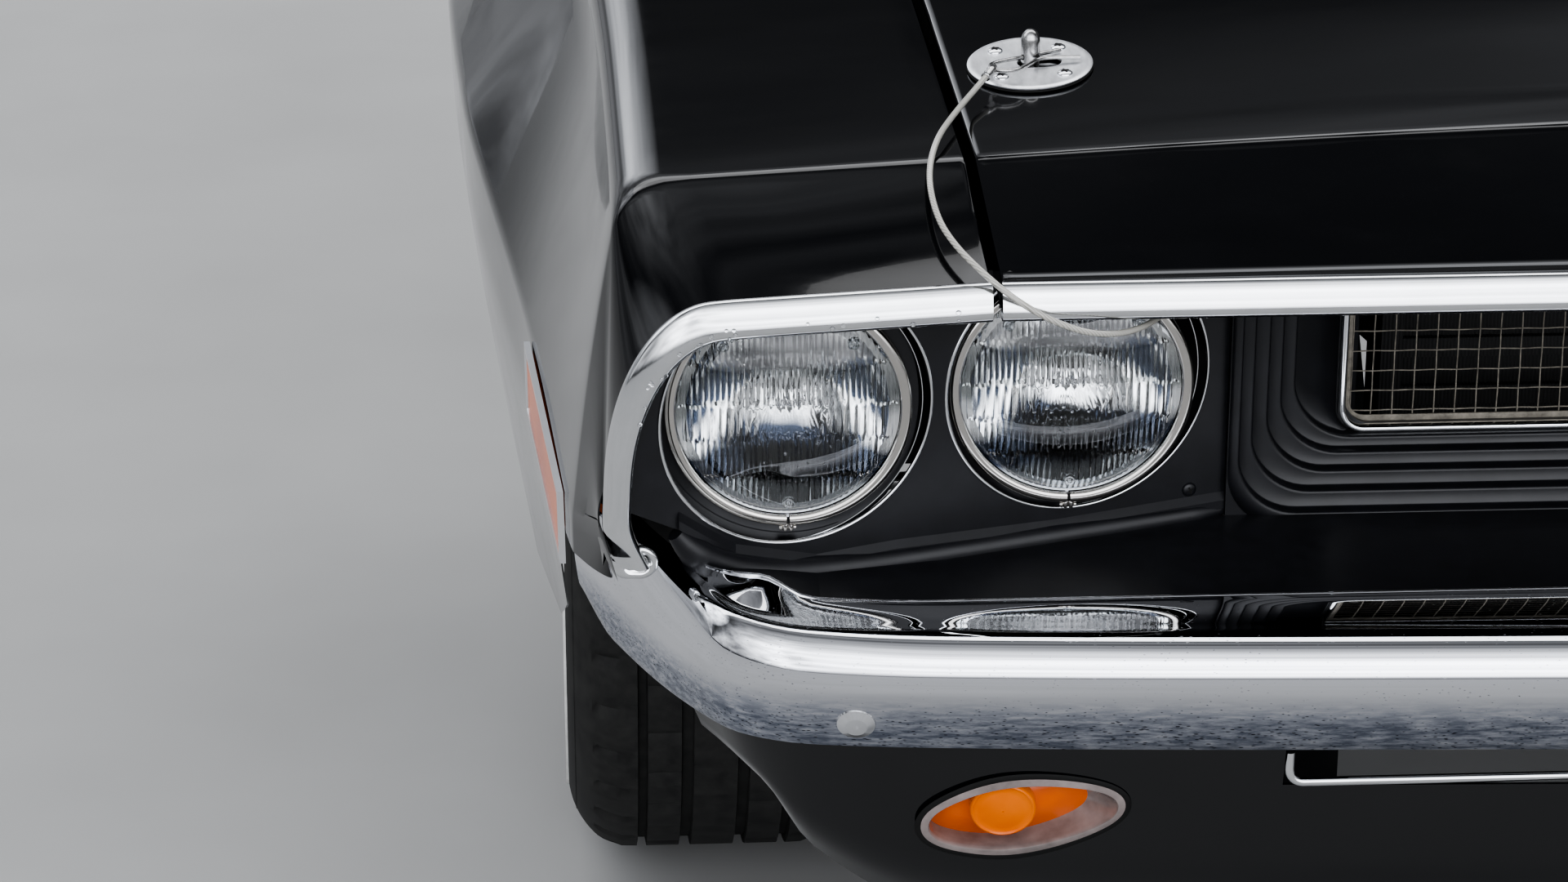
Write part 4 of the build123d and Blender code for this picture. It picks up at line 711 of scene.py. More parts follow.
def hood_skin():
    """The hood's outer panel: hollow front face, crisp brow, crowned top and rolled edges."""
    even = np.linspace(0, 1, 41)
    # Closer together towards the hood's edge
    shares = 0.6 * even + 0.4 * np.sin(even * math.pi / 2)
    back = np.concatenate([np.linspace(-740, 560, 54), [583, 595]])
    rows_back = body_rows(back)
    lines = np.array([hood_line(share, back, rows_back) for share in shares])
    rolled = []
    for drop, out in ((0.6, -1.0), (1.6, -0.3), (3.2, 0.0), (18.0, 0.0)):
        rolled.append(lines[-1] + (out, 0.0, -drop))
    near = lines[-1] + (-6.0, 0.0, 0.25)
    lines[-1][:, 0] -= 1.6
    right = np.concatenate([lines[:-1], [near, lines[-1]], np.array(rolled)])
    left = right[::-1] * (-1.0, 1.0, 1.0)
    full = np.concatenate([left[:-1], right]) + (0.0, 0.0, SKIN_LIFT)
    faces = [f[::-1] for f in grid_faces(full.shape[0], full.shape[1])]
    skin = add_mesh("hood_outer_panel", full.reshape(-1, 3), faces, PAINT, "hood", "black_paint", None, False)
    thicken(skin, HOOD_T)


def fender_section(row, at):
    """Points across the left fender from its flange at the gap to the hem; at places each (x, z)."""
    _, gap_x, gap_z, *corners = row
    shoulder_in, shoulder_out, crease, hem, flank = np.reshape(corners, (5, 2))
    edge = np.array((gap_x + GAP, gap_z))
    points = [edge + (out, -drop) for drop, out in ((22.0, 0.0), (3.2, 0.0), (1.4, 0.4), (0.4, 1.4))]
    points += [between(edge, shoulder_in, t) for t in np.linspace(0.02, 1, 12)]
    middle = (shoulder_in + shoulder_out) / 2
    pull = between(middle, (shoulder_out[0], shoulder_in[1]), SHOULDER_FULL)
    points += curved(shoulder_in, pull, shoulder_out, 13)[1:]
    for t in np.linspace(0, 0.93, 9)[1:]:
        points.append(between(shoulder_out, crease, t) + (SIDE_SWELL * math.sin(math.pi * t), 0.0))
    points += rounded(points[-1], crease, flank, CREASE_ROUND, CREASE_ROUND, 7)
    start = points[-1]
    points += [between(start, flank, 0.8 * t) for t in (0.35, 0.7)]
    points += rounded(points[-1], flank, hem, 0.3 * (start[1] - flank[1]), 0.3 * (flank[1] - hem[1]), 6)
    start = points[-1]
    points += [between(start, hem, t) for t in np.linspace(0, 1, 6)[1:]]
    return np.array([at(x, z) for x, z in points])


def fender_skin():
    """The left fender's outer panel, its wheel arch and lower edge cut out."""
    back = np.concatenate([np.linspace(-745, 590, 52), [615, 633, 635]])
    nose = fender_section(SKIN[0, 1:], lambda x, z: (x, nose_y(z), z))
    brow = fender_section(SKIN[1, 1:], lambda x, z: (x, brow_y(x), z))
    behind = [fender_section(row, lambda x, z, y=y: (x, y, z)) for y, row in zip(back, body_rows(back))]
    count = len(nose)
    # The brow is crisp on top and broadly rounded round the side
    width = np.array([4.0 + 26.0 * min(1.0, max(0.0, (k - 14) / 14.0)) for k in range(count)])
    hollow = np.array([min(1.0, max(0.0, 1 - (k - 12) / 14.0)) for k in range(count)])
    rows = []
    for t in np.linspace(0, 0.9, 13):
        deep = FENDER_HOLLOW * math.sin(math.pi * t) * hollow
        rows.append(between(nose, brow, t) + HOLLOW * deep[:, None])
    corner = []
    for k in range(count):
        before = min(width[k], 0.75 * np.linalg.norm(rows[-1][k] - brow[k]))
        after = min(width[k] * 1.3, 0.85 * np.linalg.norm(behind[0][k] - brow[k]))
        corner.append(rounded(rows[-1][k], brow[k], behind[0][k], before, after, 8))
    grid = np.array([*rows, *np.array(corner).transpose(1, 0, 2), *behind])
    skin = add_mesh("fender_panel_left", grid.reshape(-1, 3), grid_faces(*grid.shape[:2]), PAINT, "root",
                    "black_paint", None, False)
    thicken(skin, FENDER_T)
    circle = [(ARCH_R * math.cos(a), ARCH_Z + ARCH_R * math.sin(a)) for a in around(96)]
    cut(skin, [prism(circle, "x", 700, 1100), prism(UNDERCUT, "x", 700, 1100)])
    mirror_copy(skin, "fender_panel_right")
    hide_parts("fenders")


# Bright mouldings

MOULD_H, MOULD_D, MOULD_SIDE_W = 24.0, 12.0, 18.0
TAB_REACH = 7.0
# The tab's rings, from its back to its middle: radius, height
TAB_RINGS = ((11.6, 0.0), (11.8, 2.4), (10.8, 4.2), (8.6, 4.8), (6.8, 3.8), (6.2, 3.4), (0.6, 3.4))
TAB_R, TAB_SCREW_R = 11.8, 5.6
# Share across the strip from its painted edge, share of its depth
STRIP = ((0.0, 0.12), (0.03, 0.26), (0.12, 0.42), (0.28, 0.62), (0.45, 0.79), (0.6, 0.91), (0.7, 0.97),
         (0.76, 1.0), (0.8, 0.99), (0.87, 0.95), (0.94, 0.86), (0.985, 0.7), (1.0, 0.4))
STRIP_BACK = ((1.0, 0.0), (0.5, 0.0), (0.0, 0.0))


def strip_rings(outer, inner):
    """Rings of a rounded strip between two lines of (x, z) points in the nose plane."""
    rings = []
    for painted, bare in zip(outer, inner):
        ring = []
        for across, depth in STRIP + STRIP_BACK:
            x, z = between(painted, bare, across)
            ring.append((x, nose_y(z) - FIT - MOULD_D * depth, z))
        rings.append(ring)
    return rings


def quarter(cx, cz, rx, rz, count):
    """A quarter ellipse from the top round to the side."""
    return [(cx + rx * math.sin(a), cz + rz * math.cos(a)) for a in quarter_turn(count)]


def relaxed(line, times):
    """A line with its small kinks smoothed out and its ends kept."""
    line = np.array(line, float)
    for _ in range(times):
        line[1:-1] = 0.25 * line[:-2] + 0.5 * line[1:-1] + 0.25 * line[2:]
    return line


def fender_moulding_lines():
    """The moulding's outer and inner lines of (x, z) points, from the gap round to its lower end."""
    gap_x, gap_z, ax, az, bx, bz, cx, cz, dx, dz = SKIN[0, 2:12]
    start = gap_x + GAP
    t = np.linspace(0, 1, 24)[:-1]
    side = MOULD_SIDE_W
    outer = [between((start, gap_z), (ax, az), k) for k in t]
    outer += quarter(ax, bz, bx - ax, az - bz, 40)
    outer += list(smooth_path([(bx, bz - 4), (cx - 1, cz), (dx - 2, dz + 8)], 4.0))
    inner = [between((start, gap_z - MOULD_H), (ax - 8, az - MOULD_H), k) for k in t]
    inner += quarter(ax - 8, bz, bx - side - ax + 8, az - MOULD_H - bz, 40)
    inner += list(smooth_path([(bx - side, bz - 4), (cx - side - 1, cz + 4), (dx - side - 6, dz + 8)], 4.0))
    count = min(len(outer), len(inner))
    return relaxed(outer[:count], 12), relaxed(inner[:count], 12)


def mouldings():
    """Strips on the fenders and the hood. Returns the place of the left tab's screw."""
    outer, inner = fender_moulding_lines()
    shape = Shape().tube(strip_rings(outer, inner))
    dx, dz = SKIN[0][10] - MOULD_SIDE_W, SKIN[0][11] + 10
    y = nose_y(dz) - FIT
    # The rounded tab at the strip's lower end, which its screw holds
    rings = []
    for radius, lift in TAB_RINGS:
        ring = []
        for a in around(48):
            reach = TAB_REACH * radius / TAB_R if math.cos(a) > 0 else 0.0
            ring.append((dx + reach + radius * math.cos(a), y - lift, dz + 0.95 * radius * math.sin(a)))
        rings.append(ring)
    shape.tube(rings)
    strip = shape.mirrored().piece("fender_moulding_strips", TRIM, "root", "bright_trim", 50)
    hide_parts("fender_mouldings")
    half = SKIN[0][2]
    xs = np.linspace(-half, half, 41)
    top = [(x, SKIN[0][3]) for x in xs]
    low = [(x, SKIN[0][3] - MOULD_H) for x in xs]
    header = Shape().tube(strip_rings(top, low)).piece("hood_moulding_strip", TRIM, "hood", "bright_trim", 50)
    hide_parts("hood_moulding")
    return (dx, y - 4.0, dz)


# Bumper, valance and what they carry

# Columns: x, y, heading from straight ahead in degrees, shelf depth, rear z, top z, widest z, bottom z,
# top inset, bottom inset
BUMPER = np.array([
    (0.0, -952.0, 0.0, 100.0, 565.0, 566.0, 535.0, 485.0, 26.0, 19.0),
    (120.0, -945.7, 0.8, 93.9, 565.0, 566.0, 535.0, 485.0, 26.0, 19.2),
    (627.0, -919.0, 4.0, 68.0, 565.0, 566.0, 535.0, 485.0, 26.0, 20.0),
    (727.0, -908.0, 12.0, 56.0, 570.0, 568.0, 535.0, 485.0, 24.0, 21.0),
    (775.0, -885.0, 38.0, 42.0, 586.0, 572.0, 536.0, 486.0, 20.0, 18.0),
    (806.0, -835.0, 66.0, 22.0, 584.0, 580.0, 540.0, 487.0, 15.0, 12.0),
    (845.0, -740.0, 72.0, 10.0, 592.0, 592.0, 550.0, 490.0, 7.0, 5.0),
    (866.0, -690.0, 76.0, 7.0, 597.0, 597.0, 560.0, 510.0, 5.0, 4.0),
])
BUMPER_T = 3.0
SHELF_CROWN = 0.055   # rise of the shelf's middle for each mm of its width
SHELF_BEAD = 1.5      # radius of the bead along the shelf's rear edge
# Reach back of the bend, its z, reach back of the lower edge, its z, behind the bumper's first six rows
VALANCE = np.array([
    (50.0, 374.0, 82.0, 335.0),
    (50.0, 374.4, 81.6, 335.6),
    (50.0, 376.0, 80.0, 338.0),
    (46.0, 412.0, 62.0, 392.0),
    (34.0, 455.0, 42.0, 445.0),
    (20.0, 476.0, 22.0, 471.0),
])
VALANCE_T = 3.0
VALANCE_LAP = 4.0


def run_along(rows, spacing):
    """Rows of both sides, sampled along the front line; the first two columns are x and y."""
    mirrored = rows[:0:-1].copy()
    mirrored[:, 0] *= -1
    mirrored[:, 2] *= -1
    full = np.concatenate([mirrored, rows])
    steps = np.linalg.norm(np.diff(full[:, :2], axis=0), axis=1)
    along = np.concatenate([[0.0], np.cumsum(steps)])
    places = []
    for low, high in zip(along, along[1:]):
        places += list(np.linspace(low, high, max(3, int((high - low) / spacing)), endpoint=False))
    places.append(along[-1])
    return pchip(along, full, places)


def behind_front(x, y, heading, back, z):
    """A point behind the bumper's front line, square to its heading."""
    turn = math.radians(heading)
    return (x - math.sin(turn) * back, y + math.cos(turn) * back, z)


def bumper_ring(row):
    """The bumper's closed section: shelf, rounded front edge, face, lip and inner wall."""
    x, y, heading, depth, rear_z, top_z, wide_z, low_z, top_in, low_in = row
    t = BUMPER_T
    outer = []
    crown = SHELF_CROWN * (depth - top_in)
    bead = min(SHELF_BEAD, 0.04 * depth)
    for a in np.linspace(0, math.radians(150.0), 7):
        outer.append((depth - bead * (1 - math.cos(a)), rear_z + bead * math.sin(a)))
    for share in np.linspace(0, 1, 11)[1:-1]:
        rise = crown * math.sin(math.pi * share)
        outer.append(between((depth, rear_z), (top_in, top_z), share) + (0.0, rise))
    for a in quarter_turn(13):
        outer.append((top_in * (1 - math.sin(a)), wide_z + (top_z - wide_z) * math.cos(a)))
    for share in np.linspace(0, 1, 9)[1:-1]:
        swell = math.sin(math.pi * share)
        outer.append(between((0.0, wide_z), (low_in, low_z), share) - (swell, 0.0))
    lip = [(low_in + back, low_z + up) for back, up in ((0.0, 1.0), (0.6, 0.2), (1.6, 0.0), (t, 0.8))]
    inner = [(low_in * share + t, wide_z + (low_z - wide_z) * share) for share in np.linspace(0.9, 0, 6)]
    for a in np.linspace(math.pi / 2, 0, 7)[1:]:
        back = t + (top_in - 0.5 * t) * (1 - math.sin(a))
        inner.append((back, wide_z + (top_z - t - wide_z) * math.cos(a)))
    inner.append((depth, rear_z - t))
    return [behind_front(x, y, heading, back, z) for back, z in outer + lip + inner]


def bumper_shell():
    shape = Shape().tube([bumper_ring(row) for row in run_along(BUMPER, 9.0)])
    shell = shape.piece("bumper_shell", BUMPER_CHROME, "root", "chrome", 40)
    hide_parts("bumper")


SIGNAL_X, SIGNAL_Z = 585.0, 431.0
SIGNAL_HALF_X, SIGNAL_HALF_Z = 64.0, 27.0
SIGNAL_TILT = 9.0
# Rings of the turn signal's gasket and rim: growth of the oval, distance behind the valance's face
GASKET_RINGS = ((1.0, -1.0), (4.4, -1.0), (4.8, -2.4), (3.6, -3.4), (1.2, -3.2))
RIM_RINGS = ((1.0, -3.2), (-1.6, -4.4), (-3.6, -4.6), (-4.4, -3.6), (-5.0, 0.0))
BOWL_SCALE, BOWL_SHIFT = 0.8, (8.0, 2.5)   # the amber bowl's oval within the rim's
BOWL_DEEP = 14.0
# The round optic's section, in front of the valance's face, and its radius
OPTIC = ((-7.0, 0.4), (1.2, 0.4), (0.9, 8.0), (0.2, 14.0), (-0.6, 17.5), (0.0, 18.4), (0.6, 19.4),
         (0.0, 20.6), (-1.6, 21.0), (-7.0, 21.0))
INTAKE_HALF, INTAKE_Z = 423.0, 456.0


def valance_ring(row):
    """The valance's closed section, hung behind the bumper's lower lip."""
    x, y, heading, _, _, _, wide_z, lip_z, _, low_in, bend, bend_z, low, low_z = row
    lip = low_in + BUMPER_T + FIT
    top = lip - low_in * VALANCE_LAP / (wide_z - lip_z)
    front = [(top, lip_z + VALANCE_LAP)]
    front += [between((lip, lip_z), (bend, bend_z), share) for share in np.linspace(0, 0.8, 7)]
    reach = 0.2 * math.hypot(bend - lip, bend_z - lip_z)
    onward = min(reach, 0.6 * math.hypot(low - bend, low_z - bend_z))
    front += rounded(front[-1], (bend, bend_z), (low, low_z), reach, onward, 7)[1:]
    for share in (0.75, 1.0):
        front.append(between(front[-1], (low, low_z), share))
    back = [(reach_back + VALANCE_T, z) for reach_back, z in reversed(front)]
    return [behind_front(x, y, heading, reach_back, z) for reach_back, z in front + back]


def valance_face_y(x, z):
    """The valance's front face between the bumper's lip and its bend, along the straight front."""
    ends = []
    for number in (0, 2):
        bend, bend_z = VALANCE[number][:2]
        row = BUMPER[number]
        lip = row[9] + BUMPER_T + FIT
        back = lip + (bend - lip) * (row[7] - z) / (row[7] - bend_z)
        ends.append(behind_front(row[0], row[1], row[2], back, z)[1])
    return ends[0] + x / BUMPER[2][0] * (ends[1] - ends[0])


SIGNAL_Y = valance_face_y(SIGNAL_X, SIGNAL_Z)
SIGNAL_SLOPE_X = (valance_face_y(SIGNAL_X + 10, SIGNAL_Z) - SIGNAL_Y) / 10
SIGNAL_SLOPE_Z = (valance_face_y(SIGNAL_X, SIGNAL_Z + 10) - SIGNAL_Y) / 10


def signal_oval(grow, lift, scale=1.0, shift=(0.0, 0.0)):
    """The turn signal's tilted oval, outboard x positive; lift is behind the valance's face."""
    turn = math.radians(SIGNAL_TILT)
    ring = []
    for a in around(72):
        fuller = 1.0 + 0.06 * math.cos(2 * a) ** 2
        skewed = 0.1 * SIGNAL_HALF_X * (1 - abs(math.cos(a)))
        u = shift[0] + scale * (SIGNAL_HALF_X + grow) * math.cos(a) + skewed
        v = shift[1] + scale * (SIGNAL_HALF_Z + grow) * math.sin(a) * fuller
        dx = u * math.cos(turn) + v * math.sin(turn)
        dz = v * math.cos(turn) - u * math.sin(turn)
        y = SIGNAL_Y + SIGNAL_SLOPE_X * dx + SIGNAL_SLOPE_Z * dz + lift
        ring.append((SIGNAL_X + dx, y, SIGNAL_Z + dz))
    return np.array(ring)


def valance_skin():
    rows = np.concatenate([BUMPER[:6], VALANCE], axis=1)
    skin = Shape().tube([valance_ring(row) for row in run_along(rows, 12.0)])
    skin = skin.piece("valance_panel", PAINT, "root", "black_paint", 35)
    hole = Shape().tube([signal_oval(0.0, -60.0), signal_oval(0.0, 60.0)])
    corners = [(-INTAKE_HALF, INTAKE_Z), (INTAKE_HALF, INTAKE_Z), (INTAKE_HALF, 520), (-INTAKE_HALF, 520)]
    intake = prism(corners, "y", -1000, -700)
    cut(skin, [hole.mirrored(), intake])
    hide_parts("valance")


def intake_trim():
    """The thin bright strip along the intake's lower edge, turned up and rounded at its ends."""
    low = INTAKE_Z + FIT
    half = INTAKE_HALF - FIT
    y = valance_face_y(300, low) + 2.0
    path = [(-half + 3, y, low + 24), (-half + 3, y, low + 14)]
    path += [(-half + 12 - 9 * math.cos(a), y, low + 12 - 9 * math.sin(a)) for a in quarter_turn(9)]
    path += [(x, y, low + 3) for x in np.linspace(-half + 40, 0, 8)]
    path += [(-x, y, z) for x, y, z in path[-2::-1]]
    shape = bar(Shape(), path, 3.0, 14)
    trim = shape.piece("intake_strip", TRIM, "root", "bright_trim", 60)
    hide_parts("valance_trim")


def turn_signals():
    """Gasket, grey rim, amber bowl and the round optic of each turn signal, made brighter with a painted
    glow.
    """
    gasket = Shape().tube([signal_oval(grow, lift) for grow, lift in GASKET_RINGS], loop=True)
    gasket.mirrored().piece("turn_signal_gaskets", BLACK_RUBBER_AND_RECESS_SHADE, "root", "signal_rim", 60)
    inside = [signal_oval(0.0, BOWL_DEEP, BOWL_SCALE, BOWL_SHIFT),
              signal_oval(4.0, BOWL_DEEP + 2.0, BOWL_SCALE, BOWL_SHIFT), signal_oval(-1.0, 8.0)]
    rim = Shape().tube([signal_oval(grow, lift) for grow, lift in RIM_RINGS] + inside, loop=True)
    rim = rim.mirrored().piece("turn_signal_bodies", RIM_GREY, "root", "signal_rim", 40)
    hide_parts("turn_signal_housings")
    # From the bowl's flat back round its edge and up to its middle
    rings = [signal_oval(0.0, BOWL_DEEP + 2.0, 0.5, BOWL_SHIFT),
             signal_oval(1.0, BOWL_DEEP + 0.4, BOWL_SCALE, BOWL_SHIFT)]
    for share in np.linspace(1.0, 0.06, 12):
        ring = signal_oval(0.0, 0.0, BOWL_SCALE * share, (BOWL_SHIFT[0] * (1.3 - 0.3 * share), BOWL_SHIFT[1]))
        ring[:, 1] += BOWL_DEEP - 10.0 * math.cos(share * math.pi / 2)
        rings.append(ring)
    bowl = Shape().tube(rings)
    bowl = bowl.mirrored().piece("turn_signal_amber", AMBER, "root", "amber_lens", 40)
    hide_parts("turn_signal_lenses")
    x, _, z = np.mean(signal_oval(0.0, 0.0, BOWL_SCALE, BOWL_SHIFT), axis=0)
    out = (SIGNAL_SLOPE_X, -1.0, SIGNAL_SLOPE_Z)
    optic = turned(Shape(), OPTIC, (x + 2.0, SIGNAL_Y - 1.5, z + 3.0), out, 48)
    # The optic's brighter amber and its emission are a painted glow for the daylight it gathers.
    optic.mirrored().piece("turn_signal_optics", AMBER_PAINTED_GLOW, "root", "amber_lens", 50)


# Headlamps

LAMPS = ((729.0, -802.0), (547.0, -774.0))   # each left lamp's axis x and the y of its ring's face
LENS_R, LENS_GLASS_R, LENS_BULGE = 74.5, 71.0, 17.0
LENS_SET, LENS_T = 4.8, 3.0   # from the ring's face back to the glass's rim, and the glass's thickness
PAD_ANGLES, PAD_PLACE_R = (48, 132, 270), 61.0
HOLE_R = 87.0
HOLE_SHIFTS = (-5.0, -6.0)    # from each lamp's axis in to the middle of its hole
PANEL_X, PANEL_Y, PANEL_SLOPE = 541.0, -758.0, 0.262
PANEL_IN_X = 440.0
PANEL_SCREW_X, PANEL_SCREW_Z, PANEL_SCREW_R = 464.0, 590.0, 4.8
RIB_PITCH, RIB_RELIEF = 3.6, 0.78
# The lens's bands from the top. Columns: lower edge, share of the rib pitch, offset, prism tilt
BANDS = ((36.0, 1.0, 0.0, 0.045), (10.0, 1.0, 0.5, 0.06), (-14.0, 1.5, 0.0, 0.02), (-40.0, 1.0, 0.25, -0.06),
         (-80.0, 1.0, 0.75, -0.045))
PLAIN_U, PLAIN_V = 27.0, 9.0
# The retaining ring's section: distance behind its face, radius
RING_PROFILE = (
    (3.0, 70.9), (1.9, 71.0), (0.9, 71.6), (0.25, 72.8), (0.0, 74.2), (0.2, 75.7), (0.8, 77.0),
    (1.7, 77.9), (3.0, 78.4), (9.2, 78.5), (9.2, 74.9), (3.4, 74.8), (3.3, 71.0),
)


def panel_y(x):
    """The lamp panel's front face."""
    return PANEL_Y - PANEL_SLOPE * (x - PANEL_X)


def dome_depth(r, bulge, radius):
    """How far a cap of that bulge stands in front of its rim at distance r from its middle."""
    ball = (radius ** 2 + bulge ** 2) / (2 * bulge)
    return math.sqrt(max(ball ** 2 - r ** 2, 0.0)) - (ball - bulge)


def lens_relief(u, v):
    """Relief on the inside of the glass: ribs in bands, each a shallow prism, round a plain oval."""
    if (u / PLAIN_U) ** 2 + ((v + 2.0) / PLAIN_V) ** 2 < 1:
        return 0.9
    sag = v + 0.0016 * u * u
    top = LENS_R
    for low, pitch, offset, tilt in BANDS:
        if sag >= low:
            phase = (u / (RIB_PITCH * pitch) + offset) % 1.0
            rib = 1 - (2 * phase - 1) ** 2
            return RIB_RELIEF * rib * pitch + tilt * (sag - (low + top) / 2)
        top = low
    return 0.0


def lens(shape, x, face):
    """One sealed-beam glass: smooth dome outside, ribs inside, both on the same grid of columns."""
    radius = LENS_GLASS_R - FIT
    rim_y = face + LENS_SET
    columns = int(2 * radius / RIB_PITCH * 5)
    # A little closer together towards the rim
    most = math.pi / 2 * 0.985
    us = radius * np.sin(np.linspace(-math.pi / 2, math.pi / 2, columns) * 0.985) / math.sin(most)
    us = 0.25 * us + 0.75 * np.linspace(-radius, radius, columns)
    ts = np.linspace(-1, 1, 44)
    front, back = [], []
    for u in us:
        reach = math.sqrt(max(radius ** 2 - u * u, 1.0))
        for t in ts:
            v = reach * t
            r = min(math.hypot(u, v), radius)
            depth = dome_depth(r, LENS_BULGE, radius)
            edge = min(1.0, (radius - r) / 4.0)
            front.append((x + u, rim_y - depth, LAMP_Z + v))
            back.append((x + u, rim_y + LENS_T - depth + edge * (1.2 - lens_relief(u, v)), LAMP_Z + v))
    rows, cols = len(us), len(ts)
    count = rows * cols
    faces = grid_faces(rows, cols)
    faces += [tuple(count + k for k in f[::-1]) for f in grid_faces(rows, cols)]
    rim = [i * cols for i in range(rows)] + [(rows - 1) * cols + j for j in range(1, cols)]
    rim += [i * cols + cols - 1 for i in range(rows - 2, -1, -1)] + list(range(cols - 2, 0, -1))
    for a, b in zip(rim, rim[1:] + rim[:1]):
        faces.append((a, b, count + b, count + a))
    shape.add(front + back, faces)
    # Three aiming pads near the rim
    for a in np.radians(PAD_ANGLES):
        u, v = PAD_PLACE_R * math.cos(a), PAD_PLACE_R * math.sin(a)
        at = (x + u, rim_y - dome_depth(PAD_PLACE_R, LENS_BULGE, radius) + 0.6, LAMP_Z + v)
        turned(shape, [(0.0, 0.3), (2.6, 0.3), (2.7, 1.3), (3.6, 1.9), (3.6, 3.0), (2.6, 3.8), (0.0, 4.0)],
               at, (0.0, -1.0, 0.0), 20)


def lamp_lenses():
    shape = Shape()
    for x, face in LAMPS:
        lens(shape, x, face)
    lenses = shape.mirrored().piece("headlamp_glass", GLASS, "root", "clear_glass", 30)
    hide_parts("headlamp_lenses")


def lamp_rings():
    """Retaining rings with one broad bead, split at the bottom and drawn up by a screw."""
    shape = Shape()
    for x, face in LAMPS:
        turned(shape, RING_PROFILE, (x, face, LAMP_Z), (0, 1, 0), 150, 180.8, 358.4)
        for side in (-1, 1):
            ear = [(1.4, 3.4, -77.0), (1.8, 3.2, -79.5), (1.8, 3.4, -82.0)]
            bar(shape, [(x + side * out, face + back, LAMP_Z + up) for out, back, up in ear], (2.0, 2.2, 1.2))
        y, z = face + 3.4, LAMP_Z - 79.8
        bar(shape, [(x - 5.0, y, z), (x + 5.0, y, z)], 1.2)
        bar(shape, [(x + 3.6, y, z), (x + 4.0, y, z), (x + 5.6, y, z)], (2.0, 2.4, 1.6), 12)
    rings = shape.mirrored().piece("headlamp_retaining_rings", RING, "root", "chrome", 40)
    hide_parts("headlamp_rings")


def lamp_bulbs():
    """The capsule and its shield behind each glass."""
    shape = Shape()
    for x, face in LAMPS:
        y = face + 34.0
        turned(shape, [(0.0, 0.3), (0.4, 3.0), (2.0, 5.0), (5.0, 6.2), (14.0, 6.4), (14.0, 0.3)],
               (x, y - 12.0, LAMP_Z + 2), (0, 1, 0), 24)
        for side in (-1, 1):
            bar(shape, [(x + side * 5.0, y + 14.0, LAMP_Z - 6), (x + side * 8.0, y - 4.0, LAMP_Z - 7),
                        (x + side * 5.0, y - 8.0, LAMP_Z + 1)], 0.8, 8)
    shape.mirrored().piece("headlamp_capsules", STEEL, "root", "steel", 40)


def panel_lips():
    """The rolled edge of each lamp hole and the bright liner inside it."""
    lips, liners = Shape(), Shape()
    for (lamp_x, face), shift in zip(LAMPS, HOLE_SHIFTS):
        rings, bands = [], []
        for a in around(120):
            out = np.array((math.cos(a), 0.0, math.sin(a)))
            x = lamp_x + shift + (HOLE_R - 0.2) * out[0]
            centre = np.array((x, panel_y(x) + 0.2, LAMP_Z + (HOLE_R - 0.2) * out[2]))
            rings.append([centre + out * 1.3 * math.cos(b) + np.array((0, 1.5 * math.sin(b), 0))
                          for b in around(10)])
            wall_x = lamp_x + (HOLE_R - 0.6) * out[0]
            wall_z = LAMP_Z + (HOLE_R - 0.6) * out[2]
            deep = max(face + 8.8, panel_y(wall_x) + 6.0)
            near = panel_y(wall_x) + 1.5
            in_x, in_z = wall_x - out[0] * 0.5, wall_z - out[2] * 0.5
            bands.append([(wall_x, near, wall_z), (wall_x, deep, wall_z),
                          (in_x, deep, in_z), (in_x, near, in_z)])
        lips.tube(rings, loop=True)
        liners.tube(bands, loop=True)
    lips.mirrored().piece("lamp_hole_edges", TRIM, "root", "bright_trim", 60)
    liners.mirrored().piece("lamp_hole_liners", TRIM, "root", "bright_trim", 40)


# Lamp panel's rolled ridge. Columns: x, z, radius
RIDGE = (
    (440.0, 573.0, 4.0), (458.0, 572.0, 8.0), (500.0, 570.5, 9.0), (554.0, 569.0, 9.5), (620.0, 567.0, 10.0),
    (690.0, 566.0, 10.5), (735.0, 568.5, 11.0), (768.0, 577.5, 11.5), (790.0, 591.0, 11.0),
    (801.0, 604.0, 6.0),
)


def panel_ridge():
    """The round bead along the lamp panel's lower edge."""
    path = smooth_path([(x, panel_y(x) + 1.0, z) for x, z, _ in RIDGE], 7.0)
    radii = np.interp(path[:, 0], [x for x, _, _ in RIDGE], [r for _, _, r in RIDGE])
    shape = bar(Shape(), path, radii, 20)
    shape.mirrored().piece("lamp_panel_ridges", SATIN, "root", "satin_black", 60)


# Grille

GRILLE_TOP, GRILLE_BOTTOM, GRILLE_HALF = 752.0, 609.0, 360.0
GRILLE_CORNER = 18.0
TERRACE_STEP, TERRACE_CORNER, TERRACE_T = 10.0, 40, 0.4
# Each terrace's share of the way in from the lamp panel to the mesh, and its z
TERRACES = ((0.09, 571.0), (0.21, 582.0), (0.35, 592.0), (0.48, 601.0), (0.61, 608.0))
# The surround's section: inset, distance behind its face
SURROUND = ((0.0, 6.0), (0.0, 2.0), (0.6, 0.8), (1.6, 0.15), (2.5, 0.0), (3.4, 0.15), (4.4, 0.8), (5.0, 2.0),
            (5.0, 6.0))
MESH_PITCH, MESH_WIRE = 14.0, 1.0
MESH_FRAME_W, MESH_FRAME_T = 8.0, 1.2


def cavity_front():
    """The y of the first terrace's edge."""
    return panel_y(PANEL_IN_X) - 6.0


def grille_y():
    return cavity_front() + len(TERRACES) * TERRACE_STEP


